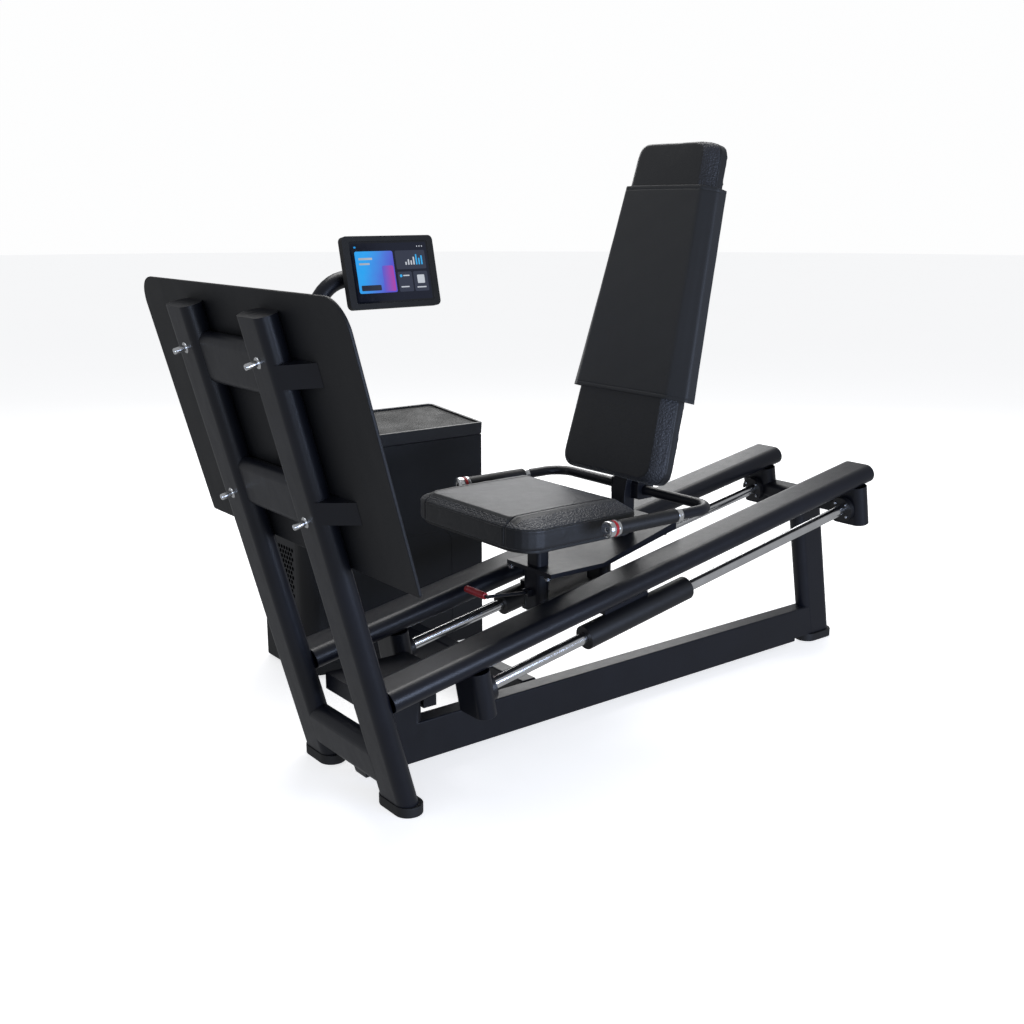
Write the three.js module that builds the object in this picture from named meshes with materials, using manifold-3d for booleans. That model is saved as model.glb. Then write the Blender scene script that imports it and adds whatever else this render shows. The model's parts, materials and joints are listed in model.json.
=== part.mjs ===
// Motor-driven leg press: a leaning foot frame with a wide footplate, two inclined rails with guide
// shafts under them, a rolling seat carriage, and a drive cabinet with a swivelling display.
// Millimetres, +Z up, +X from the footplate towards the seat, +Y towards the drive cabinet.
import * as THREE from 'three';
import { mergeVertices } from 'three/addons/utils/BufferGeometryUtils.js';
import Module from 'manifold-3d';

const wasm = await Module();
wasm.setup();

const deg = THREE.MathUtils.degToRad;

// ---- driving dimensions ------------------------------------------------------------------------
const GAP = 0.3;                     // clearance left between neighbouring pieces
const TUBE_WIDTH = 120;              // flat-oval frame tube, long side
const TUBE_DEPTH = 55;               // flat-oval frame tube, short side
const TUBE_WALL = 4;
const HALF_GAUGE = 181;              // uprights, rails and guide shafts stand at y = +- this
const ORIGIN_SHIFT_X = 764.46;        // the finished machine is moved back by this, to be centred
const ORIGIN_SHIFT_Y = -235;

const FRONT_LEAN = 14.87;            // uprights and footplate lean away from the user
const UPRIGHT_LENGTH = 1220;
const FOOT_HEIGHT = 25;
const FOOT_MARGIN = 8;
const CROSSMEMBER_UPPER_AT = 1096;   // distances along the uprights
const CROSSMEMBER_MIDDLE_AT = 792;
const CROSSMEMBER_LOWER_AT = 108;
const CROSSMEMBER_SETBACK = 11;      // front faces of the upper two lie behind the uprights' by this
const FOOTPLATE_BOTTOM_AT = 634;
const FOOTPLATE_TOP_AT = 1260;
const FOOTPLATE_HALF_WIDTH = 488;
const FOOTPLATE_THICKNESS = 8;
const GUSSET_REACH = 328;
const GUSSET_HEIGHT = 52;

const RAIL_ANGLE = 10.25;            // rails and guide shafts climb towards the rear
const RAIL_HEIGHT = 292;             // rail centreline above the floor at x = 0
const RAIL_END = 1743;
const HANGER_FRONT_AT = 234;         // distances along the rails
const HANGER_REAR_AT = 1695;
const HANGER_DROP = 150;
const SHAFT_DROP = 98;               // shaft centreline below the rail centreline
const SHAFT_DIAMETER = 32;
const FLANGE_DIAMETER = 76;
const FLANGE_THICKNESS = 16;

const BEAM_WIDTH = 54;
const BEAM_TOP = 122;
const BEAM_BOTTOM = 14;
const PLATFORM_TOP = 256;
const PLATFORM_LIP = 43;
const PLATFORM_REAR = 245;

const CABINET_FRONT = 245;           // floor-standing drive cabinet on the +Y side
const CABINET_REAR = 893;
const CABINET_NEAR = 662;
const CABINET_FAR = 958;
const CABINET_BOTTOM = 10;
const CABINET_TOP = 688;             // top of the shell along its near edge
const LID_TILT = 4.81;               // shell top and tray rise towards the far side
const TRAY_HEIGHT = 40;
const TRAY_DEPTH = 10;
const SHEET = 3;

const PULLEY_X = 62;                 // front pulley below the platform
const PULLEY_Z = 176;
const PULLEY_DIAMETER = 78;
const PULLEY_BORE = 17;
const GROOVE_DEPTH = 8;
const CABLE_DIAMETER = 5;

const ARM_X = 383;                   // display pole on the cabinet
const ARM_Y = 810;
const ARM_DIAMETER = 51;
const ARM_LEVEL = 1184;
const ARM_BEND = 125;
const ARM_TURN = 4;                  // the display is turned this much towards the seat
const ARM_REACH = 243;
const DISPLAY_TILT = 12;

const SEAT_FRONT = 342;
const SEAT_REAR = 720;
const SEAT_HALF_WIDTH = 250;
const SEAT_BOTTOM = 585;
const SEAT_TOP = 661;
const DECK_BOTTOM = 448;             // carriage deck under the seat
const DECK_TOP = 460;
const DECK_HALF_WIDTH = 94.5;
const BACK_LEAN = 14.9;
const BACK_FOOT_X = 816;             // lower edge of the backrest's front plane
const BACK_FOOT_Z = 680;
const BACK_LENGTH = 920;
const BACK_DEPTH = 60;
const HANDLE_HALF_SPACING = 315;
const HANDLE_HEIGHT = 629;
const HANDLE_CROSS_X = 930;
const HANDLE_BEND = 60;
const BAR_DIAMETER = 28;
const LEVER_X = 556;                 // release lever pivot
const LEVER_Z = 389;

// ---- materials ---------------------------------------------------------------------------------
const paint = new THREE.MeshStandardMaterial({ color: 0x1d1f24, roughness: 0.55, metalness: 0.2 });
const darkPaint = new THREE.MeshStandardMaterial({ color: 0x15171a, roughness: 0.6, metalness: 0.2 });
const chrome = new THREE.MeshStandardMaterial({ color: 0xd6d9dc, roughness: 0.12, metalness: 1 });
const steel = new THREE.MeshStandardMaterial({ color: 0x8d9196, roughness: 0.35, metalness: 1 });
const plastic = new THREE.MeshStandardMaterial({ color: 0x1a1b1e, roughness: 0.6, metalness: 0 });
const rubber = new THREE.MeshStandardMaterial({ color: 0x131416, roughness: 0.85, metalness: 0 });
const vinyl = new THREE.MeshStandardMaterial({ color: 0x1f2023, roughness: 0.65, metalness: 0 });
const glass = new THREE.MeshStandardMaterial({ color: 0x0b1430, roughness: 0.1, metalness: 0 });
const red = new THREE.MeshStandardMaterial({ color: 0xc22b30, roughness: 0.5, metalness: 0 });

// ---- solids ------------------------------------------------------------------------------------
function toManifold(geometry) {
  const bare = geometry.clone();
  bare.deleteAttribute('normal');
  bare.deleteAttribute('uv');
  const merged = mergeVertices(bare, 1e-4);
  const mesh = new wasm.Mesh({
    numProp: 3,
    vertProperties: new Float32Array(merged.attributes.position.array),
    triVerts: new Uint32Array(merged.index.array),
  });
  return new wasm.Manifold(mesh);
}

function toGeometry(manifold) {
  const mesh = manifold.getMesh();
  const geometry = new THREE.BufferGeometry();
  geometry.setAttribute('position', new THREE.BufferAttribute(mesh.vertProperties, 3));
  geometry.setIndex(new THREE.BufferAttribute(mesh.triVerts, 1));
  geometry.computeVertexNormals();
  return geometry;
}

function cut(geometry, ...tools) {
  return toGeometry(tools.reduce((body, tool) => body.subtract(toManifold(tool)), toManifold(geometry)));
}

function join(...geometries) {
  return toGeometry(geometries.map(toManifold).reduce((a, b) => a.add(b)));
}

// ---- shapes ------------------------------------------------------------------------------------
// Flat oval centred on the origin: straight long sides, semicircular ends along x.
function ovalPath(Kind, width, depth) {
  const radius = depth / 2;
  const reach = width / 2 - radius;
  const path = new Kind();
  path.moveTo(-reach, -radius);
  path.lineTo(reach, -radius);
  path.absarc(reach, 0, radius, -Math.PI / 2, Math.PI / 2, false);
  path.lineTo(-reach, radius);
  path.absarc(-reach, 0, radius, Math.PI / 2, 1.5 * Math.PI, false);
  return path;
}

// Rounded rectangle between two corners, with one radius for each corner:
// [low x low y, high x low y, high x high y, low x high y].
function roundedPath(Kind, x0, y0, x1, y1, radii) {
  const [a, b, c, d] = Array.isArray(radii) ? radii : [radii, radii, radii, radii];
  const path = new Kind();
  path.moveTo(x0 + a, y0);
  path.lineTo(x1 - b, y0);
  path.absarc(x1 - b, y0 + b, b, -Math.PI / 2, 0, false);
  path.lineTo(x1, y1 - c);
  path.absarc(x1 - c, y1 - c, c, 0, Math.PI / 2, false);
  path.lineTo(x0 + d, y1);
  path.absarc(x0 + d, y1 - d, d, Math.PI / 2, Math.PI, false);
  path.lineTo(x0, y0 + a);
  path.absarc(x0 + a, y0 + a, a, Math.PI, 1.5 * Math.PI, false);
  return path;
}

function circlePath(Kind, x, y, radius) {
  const path = new Kind();
  path.absarc(x, y, radius, 0, 2 * Math.PI, false);
  return path;
}

function polygon(points) {
  return new THREE.Shape(points.map(([x, y]) => new THREE.Vector2(x, y)));
}

// Extrusion of an outline drawn in x and y, from z0 to z1.
function prism(shape, z0, z1, curveSegments = 8) {
  const geometry = new THREE.ExtrudeGeometry(shape, { depth: z1 - z0, bevelEnabled: false, curveSegments });
  return geometry.translate(0, 0, z0);
}

// Extrusion of an outline drawn in y and z, from x0 to x1.
function prismX(shape, x0, x1, curveSegments = 8) {
  const turn = new THREE.Matrix4().makeBasis(
    new THREE.Vector3(0, 1, 0), new THREE.Vector3(0, 0, 1), new THREE.Vector3(1, 0, 0));
  return prism(shape, x0, x1, curveSegments).applyMatrix4(turn);
}

// Extrusion of an outline drawn in x and z, across the machine from y0 to y1.
function prismY(shape, y0, y1, curveSegments = 8) {
  const turn = new THREE.Matrix4().makeBasis(
    new THREE.Vector3(1, 0, 0), new THREE.Vector3(0, 0, 1), new THREE.Vector3(0, -1, 0));
  return prism(shape, -y1, -y0, curveSegments).applyMatrix4(turn);
}

function box(x0, x1, y0, y1, z0, z1) {
  const geometry = new THREE.BoxGeometry(x1 - x0, y1 - y0, z1 - z0);
  return geometry.translate((x0 + x1) / 2, (y0 + y1) / 2, (z0 + z1) / 2);
}

function ring(outer, inner, curveSegments = 16) {
  const shape = circlePath(THREE.Shape, 0, 0, outer / 2);
  if (inner > 0) shape.holes.push(circlePath(THREE.Path, 0, 0, inner / 2));
  return { shape, curveSegments };
}

// Rod or bush along x, centred on (y, z).
function barX(x0, x1, y, z, outer, inner = 0) {
  const { shape, curveSegments } = ring(outer, inner);
  return prismX(shape, x0, x1, curveSegments).translate(0, y, z);
}

function barY(y0, y1, x, z, outer, inner = 0) {
  const { shape, curveSegments } = ring(outer, inner);
  return prismY(shape, y0, y1, curveSegments).translate(x, 0, z);
}

function barZ(z0, z1, x, y, outer, inner = 0) {
  const { shape, curveSegments } = ring(outer, inner);
  return prism(shape, z0, z1, curveSegments).translate(x, y, 0);
}

// Grooved wheel about z, centred on the origin.
function pulley(diameter, width, bore, groove) {
  const outer = diameter / 2;
  const half = width / 2;
  const floor = outer - groove;
  const profile = [
    [bore / 2, -half], [outer, -half], [outer, -half * 0.8], [floor, -half * 0.4],
    [floor, half * 0.4], [outer, half * 0.8], [outer, half], [bore / 2, half], [bore / 2, -half],
  ];
  return new THREE.LatheGeometry(profile.map(([r, z]) => new THREE.Vector2(r, z)), 32).rotateX(Math.PI / 2);
}

// Solid through a stack of convex outlines that all have the same number of points.
function loft(sections) {
  const count = sections[0].length;
  const points = sections.flat();
  const positions = points.flatMap((p) => [p.x, p.y, p.z]);
  const indices = [];
  for (let level = 0; level < sections.length - 1; level += 1) {
    for (let i = 0; i < count; i += 1) {
      const next = (i + 1) % count;
      const a = level * count + i;
      const b = level * count + next;
      indices.push(a, b, b + count, a, b + count, a + count);
    }
  }
  for (const [level, flip] of [[0, true], [sections.length - 1, false]]) {
    const centre = positions.length / 3;
    const mean = sections[level].reduce((sum, p) => sum.add(p), new THREE.Vector3()).divideScalar(count);
    positions.push(mean.x, mean.y, mean.z);
    for (let i = 0; i < count; i += 1) {
      const a = level * count + i;
      const b = level * count + ((i + 1) % count);
      indices.push(centre, flip ? b : a, flip ? a : b);
    }
  }
  const geometry = new THREE.BufferGeometry();
  geometry.setAttribute('position', new THREE.Float32BufferAttribute(positions, 3));
  geometry.setIndex(indices);
  geometry.computeVertexNormals();
  return geometry;
}

// Mitred round tube through points that all lie in a plane square to the given normal.
function tubeThrough(points, diameter, normal, count = 16) {
  const sections = points.map((point, i) => {
    const before = points[Math.max(i - 1, 0)];
    const after = points[Math.min(i + 1, points.length - 1)];
    const along = after.clone().sub(before).normalize();
    const across = new THREE.Vector3().crossVectors(normal, along);
    return Array.from({ length: count }, (_, k) => {
      const angle = (k / count) * 2 * Math.PI;
      return point.clone()
        .addScaledVector(across, Math.cos(angle) * diameter / 2)
        .addScaledVector(normal, Math.sin(angle) * diameter / 2);
    });
  });
  return loft(sections);
}

// ---- scene graph -------------------------------------------------------------------------------
const machine = new THREE.Group();
const origin = new THREE.Group();
origin.position.set(-ORIGIN_SHIFT_X, ORIGIN_SHIFT_Y, 0);
machine.add(origin);

function addPart(parent, name, geometry, material) {
  const mesh = new THREE.Mesh(geometry, material);
  mesh.name = name;
  parent.add(mesh);
  return mesh;
}

// Foot frame: x is square to the uprights, z runs up along them.
const footFrame = new THREE.Group();
footFrame.rotation.y = -deg(FRONT_LEAN);
origin.add(footFrame);

// Rail frame: x runs up along the rails, z is square to them.
const railFrame = new THREE.Group();
railFrame.position.z = RAIL_HEIGHT;
railFrame.rotation.y = -deg(RAIL_ANGLE);
origin.add(railFrame);

const sides = [['left', 1], ['right', -1]];

// Geometry given in machine coordinates, turned into the coordinates of the foot or rail frame.
function inFrame(geometry, frame) {
  frame.updateMatrix();
  return geometry.applyMatrix4(frame.matrix.clone().invert());
}

// ---- foot frame --------------------------------------------------------------------------------
// Outline of the flat-sided oval frame tube; a negative clearance gives its bore.
function tubeOutline(clearance, Kind = THREE.Shape) {
  return ovalPath(Kind, TUBE_WIDTH + 2 * clearance, TUBE_DEPTH + 2 * clearance);
}

function uprightBody(side, clearance) {
  const body = prism(tubeOutline(clearance), -100, UPRIGHT_LENGTH);
  return body.rotateZ(Math.PI / 2).translate(TUBE_DEPTH / 2, side * HALF_GAUGE, 0);
}

// Wedge welded to an upright's outer side, flush with its back, that carries the footplate.
function gusset(side, height) {
  const back = TUBE_DEPTH - GAP;
  const outline = polygon([[5, 212], [back, 200], [back, GUSSET_REACH], [5, 229]]);
  const wedge = prism(outline, height - GUSSET_HEIGHT / 2, height + GUSSET_HEIGHT / 2);
  return side > 0 ? wedge : wedge.rotateX(Math.PI).translate(0, 0, 2 * height);
}

function addUprights() {
  const floorCut = inFrame(box(-400, 400, -400, 400, -400, FOOT_HEIGHT + GAP), footFrame);
  for (const [label, side] of sides) {
    const bore = prism(tubeOutline(-TUBE_WALL), -110, UPRIGHT_LENGTH - TUBE_WALL);
    bore.rotateZ(Math.PI / 2).translate(TUBE_DEPTH / 2, side * HALF_GAUGE, 0);
    const welded = join(
      uprightBody(side, 0),
      gusset(side, CROSSMEMBER_UPPER_AT - 2),
      gusset(side, CROSSMEMBER_MIDDLE_AT - 2),
    );
    addPart(footFrame, `upright_${label}`, cut(welded, bore, floorCut), paint);
  }
}

function addFrontFeet() {
  for (const [label, side] of sides) {
    const foot = prism(tubeOutline(FOOT_MARGIN), 0, FOOT_HEIGHT).rotateZ(Math.PI / 2);
    const mesh = addPart(origin, `front_foot_${label}`, foot, rubber);
    mesh.position.set(TUBE_DEPTH / 2 - 1, side * HALF_GAUGE, 0);
  }
}

function addCrossmembers() {
  const levels = [
    ['crossmember_upper', CROSSMEMBER_UPPER_AT, CROSSMEMBER_SETBACK],
    ['crossmember_middle', CROSSMEMBER_MIDDLE_AT, CROSSMEMBER_SETBACK],
    ['crossmember_lower', CROSSMEMBER_LOWER_AT, 0],
  ];
  for (const [name, height, setback] of levels) {
    const depth = TUBE_DEPTH - setback;
    const shape = ovalPath(THREE.Shape, TUBE_WIDTH, depth);
    shape.holes.push(ovalPath(THREE.Path, TUBE_WIDTH - 2 * TUBE_WALL, depth - 2 * TUBE_WALL));
    const tube = prism(shape, -HALF_GAUGE, HALF_GAUGE);
    tube.rotateZ(Math.PI / 2).rotateX(Math.PI / 2).translate(TUBE_DEPTH - depth / 2, 0, height);
    const coped = cut(tube, uprightBody(1, GAP), uprightBody(-1, GAP));
    addPart(footFrame, name, coped, paint);
  }
}

function addFootplate() {
  const outline = roundedPath(THREE.Shape, -FOOTPLATE_HALF_WIDTH, FOOTPLATE_BOTTOM_AT,
    FOOTPLATE_HALF_WIDTH, FOOTPLATE_TOP_AT, [6, 6, 70, 70]);
  const plate = prismX(outline, TUBE_DEPTH, TUBE_DEPTH + FOOTPLATE_THICKNESS);
  addPart(footFrame, 'footplate', plate.translate(GAP, 0, 0), paint);
}

// ---- rails, guide shafts and rear support ------------------------------------------------------
function addRails() {
  const slab = box(-400, TUBE_DEPTH + GAP, -500, 500, -200, 800);
  footFrame.updateMatrix();
  const uprightZone = inFrame(slab.applyMatrix4(footFrame.matrix), railFrame);
  for (const [label, side] of sides) {
    const body = prismX(tubeOutline(0), -150, RAIL_END);
    const bore = prismX(tubeOutline(-TUBE_WALL), -160, RAIL_END - TUBE_WALL);
    const rail = cut(body, bore, uprightZone).translate(0, side * HALF_GAUGE, 0);
    addPart(railFrame, `rail_${label}`, rail, paint);
  }
}

function addHangers() {
  const ends = [['front', HANGER_FRONT_AT], ['rear', HANGER_REAR_AT]];
  for (const [end, at] of ends) {
    for (const [label, side] of sides) {
      const shape = tubeOutline(0);
      shape.holes.push(tubeOutline(-TUBE_WALL, THREE.Path));
      const hanger = prism(shape, -HANGER_DROP, -TUBE_DEPTH / 2 - GAP).rotateZ(Math.PI / 2);
      const mesh = addPart(railFrame, `hanger_${end}_${label}`, hanger, paint);
      mesh.position.set(at, side * HALF_GAUGE, 0);
    }
  }
}

function addGuideShafts() {
  const shaftStart = HANGER_FRONT_AT + TUBE_DEPTH / 2 + GAP;
  const shaftEnd = HANGER_REAR_AT - TUBE_DEPTH / 2 - GAP;
  for (const [label, side] of sides) {
    const y = side * HALF_GAUGE;
    const shaft = barX(shaftStart, shaftEnd, y, -SHAFT_DROP, SHAFT_DIAMETER);
    addPart(railFrame, `guide_shaft_${label}`, shaft, chrome);
    const starts = [['front', shaftStart], ['rear', shaftEnd - FLANGE_THICKNESS]];
    for (const [end, start] of starts) {
      const flange = barX(start, start + FLANGE_THICKNESS, y, -SHAFT_DROP,
        FLANGE_DIAMETER, SHAFT_DIAMETER + 2 * GAP);
      addPart(railFrame, `shaft_flange_${end}_${label}`, flange, darkPaint);
    }
  }
}

function addRearSupport() {
  const half = TUBE_DEPTH / 2;
  const tubeShape = roundedPath(THREE.Shape, -half, -25, half, 25, 14);
  tubeShape.holes.push(roundedPath(THREE.Path, -half + TUBE_WALL, -21, half - TUBE_WALL, 21, 10));
  const tube = prismY(tubeShape, -HALF_GAUGE, HALF_GAUGE).translate(HANGER_REAR_AT, 0, -SHAFT_DROP);
  const hangers = sides.map(([, side]) => {
    const body = prism(tubeOutline(GAP), -HANGER_DROP - 10, 0).rotateZ(Math.PI / 2);
    return body.translate(HANGER_REAR_AT, side * HALF_GAUGE, 0);
  });
  addPart(railFrame, 'rear_cross_tube', cut(tube, ...hangers), paint);

  const top = -SHAFT_DROP - 25 - GAP;
  const body = prism(tubeOutline(0), -700, top).translate(HANGER_REAR_AT, 0, 0);
  const bore = prism(tubeOutline(-TUBE_WALL), -710, top - TUBE_WALL).translate(HANGER_REAR_AT, 0, 0);
  const ground = inFrame(box(1000, 2400, -300, 300, -600, FOOT_HEIGHT + GAP), railFrame);
  addPart(railFrame, 'rear_post', cut(body, bore, ground), paint);

  const footWidth = TUBE_WIDTH / Math.cos(deg(RAIL_ANGLE)) + 2 * FOOT_MARGIN;
  const foot = prism(ovalPath(THREE.Shape, footWidth, TUBE_DEPTH + 2 * FOOT_MARGIN), 0, FOOT_HEIGHT);
  addPart(origin, 'rear_foot', foot, rubber).position.set(rearPostAt(FOOT_HEIGHT / 2), 0, 0);
}

// Where the rear post's centreline stands at a height above the floor.
function rearPostAt(height) {
  const angle = deg(RAIL_ANGLE);
  return (HANGER_REAR_AT - (height - RAIL_HEIGHT) * Math.sin(angle)) / Math.cos(angle);
}

// ---- base --------------------------------------------------------------------------------------
const POST_CENTRE = 141;

function addBase() {
  const half = BEAM_WIDTH / 2;
  const shape = roundedPath(THREE.Shape, -half, BEAM_BOTTOM, half, BEAM_TOP, 5);
  const beam = prismX(shape, -40, 1900);
  const tubeZone = prism(tubeOutline(GAP), -200, 200);
  tubeZone.rotateZ(Math.PI / 2).rotateX(Math.PI / 2);
  tubeZone.translate(TUBE_DEPTH / 2, 0, CROSSMEMBER_LOWER_AT).applyMatrix4(footFrame.matrix);
  const frontZone = box(-300, TUBE_DEPTH / 2, -200, 200, -100, 400).applyMatrix4(footFrame.matrix);
  const postZone = prism(tubeOutline(GAP), -700, 0).translate(HANGER_REAR_AT, 0, 0);
  postZone.applyMatrix4(railFrame.matrix);
  const rearZone = box(HANGER_REAR_AT, 2600, -200, 200, -900, 0).applyMatrix4(railFrame.matrix);
  const rearFoot = box(1650, 1900, -80, 80, -1, FOOT_HEIGHT + GAP);
  const beamFitted = cut(beam, tubeZone, frontZone, postZone, rearZone, rearFoot);
  const outline = ovalPath(THREE.Shape, TUBE_WIDTH, BEAM_WIDTH);
  const post = prism(outline, BEAM_TOP - 10, PLATFORM_TOP - 6 - GAP);
  const slot = box(-TUBE_WIDTH, TUBE_WIDTH, -12, 12, BEAM_TOP + 4, PLATFORM_TOP + 4);
  addPart(origin, 'base_beam', join(beamFitted, cut(post, slot).translate(POST_CENTRE, 0, 0)), paint);
}

function addPlatform() {
  const width = HALF_GAUGE - TUBE_WIDTH / 2 - 1;
  const top = box(0, PLATFORM_REAR, -width, width, PLATFORM_TOP - 6, PLATFORM_TOP);
  const lip = box(0, 6, -width, width, PLATFORM_TOP - PLATFORM_LIP, PLATFORM_TOP - 3);
  addPart(origin, 'platform_plate', join(top, lip), paint);
}

function addOutrigger() {
  const half = BEAM_WIDTH / 2;
  const shape = roundedPath(THREE.Shape, 563, BEAM_BOTTOM, 612, BEAM_TOP, 5);
  const arm = prismY(shape, half + 8, CABINET_NEAR - GAP);
  const flange = box(491, 656, half + GAP, half + 8.5, BEAM_BOTTOM + 8, BEAM_TOP - 6);
  addPart(origin, 'outrigger_beam', join(arm, flange), paint);
}

// ---- drive cabinet -----------------------------------------------------------------------------
const CABINET_CORNERS = [56, 8, 20, 20];

function cabinetBlock(inset, z0, z1) {
  const outline = roundedPath(THREE.Shape, CABINET_FRONT + inset, CABINET_NEAR + inset,
    CABINET_REAR - inset, CABINET_FAR - inset, CABINET_CORNERS.map((r) => Math.max(r - inset, 2)));
  return prism(outline, z0, z1, 6);
}

// Turns geometry built level above the shell's top edge onto the tilted lid.
function onLid(geometry) {
  const turned = geometry.translate(0, -CABINET_NEAR, 0).rotateX(deg(LID_TILT));
  return turned.translate(0, CABINET_NEAR, CABINET_TOP);
}

const VENT = [730, 905, 200, 430];           // y0, y1, z0, z1 of the opening in the front face
const ROCKER_Y = 760;
const ROCKER_Z = 120;
const ROCKER_RADIUS = 13;

function addCabinet() {
  const recess = roundedPath(THREE.Shape, 320, 40, 769, 396, [8, 8, 44, 8]);
  const dent = prismY(recess, CABINET_NEAR - 10, CABINET_NEAR + 1.6);
  const [y0, y1, z0, z1] = VENT;
  const vent = box(CABINET_FRONT - 20, CABINET_FRONT + 20, y0, y1, z0, z1);
  const switchWindow = box(CABINET_REAR - 20, CABINET_REAR + 20,
    ROCKER_Y - 8, ROCKER_Y + 8, ROCKER_Z - 11.5, ROCKER_Z + 11.5);
  const shell = cut(cabinetBlock(0, CABINET_BOTTOM, 900), onLid(box(0, 1200, 400, 1200, 0, 600)),
    cut(cabinetBlock(SHEET, CABINET_BOTTOM - 10, 900), onLid(box(0, 1200, 400, 1200, -SHEET, 600))),
    dent, vent, switchWindow);
  addPart(origin, 'cabinet_shell', shell, paint);
  const floor = cabinetBlock(SHEET + GAP, CABINET_BOTTOM, CABINET_BOTTOM + 6);
  const corners = [[305, 722], [833, 722], [833, 898], [305, 898]];
  const pads = corners.map(([x, y]) => barZ(0, CABINET_BOTTOM + 3, x, y, 44));
  addPart(origin, 'cabinet_base', join(floor, ...pads), rubber);
  const grille = box(CABINET_FRONT + 0.6, CABINET_FRONT + 2.6, y0 + GAP, y1 - GAP, z0 + GAP, z1 - GAP);
  addPart(origin, 'vent_grille', grille, darkPaint);
  const rocker = barY(ROCKER_Y - 7, ROCKER_Y + 7, 0, 0, 2 * ROCKER_RADIUS);
  addPart(origin, 'power_switch', rocker, plastic).position.set(CABINET_REAR - 10, 0, ROCKER_Z);
}

function addTray() {
  const neck = cabinetBlock(4, GAP, 6);
  const rim = cabinetBlock(0, 4, TRAY_HEIGHT);
  const pocket = cabinetBlock(9, TRAY_HEIGHT - TRAY_DEPTH, TRAY_HEIGHT + 10);
  addPart(origin, 'cabinet_tray', onLid(cut(join(neck, rim), pocket)), plastic);
  const floor = TRAY_HEIGHT - TRAY_DEPTH + GAP;
  const hole = barZ(500, 1000, ARM_X, ARM_Y, 96);
  addPart(origin, 'tray_mat', cut(onLid(cabinetBlock(9 + GAP, floor, floor + 4)), hole), rubber);
}

// ---- cable run ---------------------------------------------------------------------------------
const IDLER_X = 227;
const IDLER_DIAMETER = 60;
const CHEEK_INSIDE = 10.5;
const CHEEK_OUTSIDE = 14.5;
const ANCHOR_AT = 690;               // where the cable meets the carriage, along the rails

// The cable leaves the top of the front pulley's groove; start and height in the rail frame.
function cableLevel() {
  const hub = new THREE.Vector3(PULLEY_X, 0, PULLEY_Z).applyMatrix4(railFrame.matrix.clone().invert());
  return { start: hub.x, level: hub.z + PULLEY_DIAMETER / 2 - GROOVE_DEPTH + CABLE_DIAMETER / 2 + GAP };
}

function cheeks(x0, x1, z0, z1) {
  const right = box(x0, x1, -CHEEK_OUTSIDE, -CHEEK_INSIDE, z0, z1);
  const left = box(x0, x1, CHEEK_INSIDE, CHEEK_OUTSIDE, z0, z1);
  return join(right, left);
}

function addCableRun() {
  const wheel = pulley(PULLEY_DIAMETER, 16, PULLEY_BORE, GROOVE_DEPTH).rotateX(Math.PI / 2);
  addPart(origin, 'front_pulley', wheel, darkPaint).position.set(PULLEY_X, 0, PULLEY_Z);
  const foot = box(44, 80, -CHEEK_OUTSIDE, CHEEK_OUTSIDE, BEAM_TOP + GAP, BEAM_TOP + 5);
  const axle = barY(-CHEEK_OUTSIDE + 1, CHEEK_OUTSIDE - 1, PULLEY_X, PULLEY_Z, PULLEY_BORE - 1);
  const stand = join(foot, cheeks(44, 80, BEAM_TOP + 4, PULLEY_Z + 18), axle);
  addPart(origin, 'pulley_bracket', stand, paint);

  const { start, level } = cableLevel();
  const cable = barX(start, ANCHOR_AT - GAP, 0, level, CABLE_DIAMETER);
  addPart(railFrame, 'press_cable', cable, steel);

  const slope = Math.tan(deg(RAIL_ANGLE));
  const cableZ = RAIL_HEIGHT + IDLER_X * slope + level / Math.cos(deg(RAIL_ANGLE));
  const idlerZ = cableZ - IDLER_DIAMETER / 2 + GROOVE_DEPTH - CABLE_DIAMETER / 2 - 1;
  const idler = pulley(IDLER_DIAMETER, 16, 11, GROOVE_DEPTH).rotateX(Math.PI / 2);
  addPart(origin, 'idler_pulley', idler, darkPaint).position.set(IDLER_X, 0, idlerZ);
  const hangerTop = PLATFORM_TOP - 6 - GAP;
  const web = box(206, PLATFORM_REAR, -CHEEK_OUTSIDE, CHEEK_OUTSIDE, hangerTop - 3, hangerTop);
  const shoe = box(206, PLATFORM_REAR, -CHEEK_OUTSIDE, CHEEK_OUTSIDE, 150, 156);
  const pin = barY(-CHEEK_OUTSIDE + 1, CHEEK_OUTSIDE - 1, IDLER_X, idlerZ, 10);
  const bracket = join(cheeks(206, PLATFORM_REAR, 150, hangerTop), web, shoe, pin);
  addPart(origin, 'idler_bracket', bracket, paint);
}

// ---- display -----------------------------------------------------------------------------------
const TRAY_FLOOR = CABINET_TOP + TRAY_HEIGHT - TRAY_DEPTH;
const ARM_BASE = TRAY_FLOOR + (ARM_Y - CABINET_NEAR) * Math.tan(deg(LID_TILT));
const SOCKET_TOP = ARM_BASE + 70;
const HOUSING_FRONT = -70.9;         // housing's front plane, measured from the arm's axis
const HOUSING_DEPTH = 20;
const HOUSING_SIZE = [338, 217];
const SCREEN_SIZE = [290, 184];
const DISPLAY_LIFT = 6;

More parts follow.
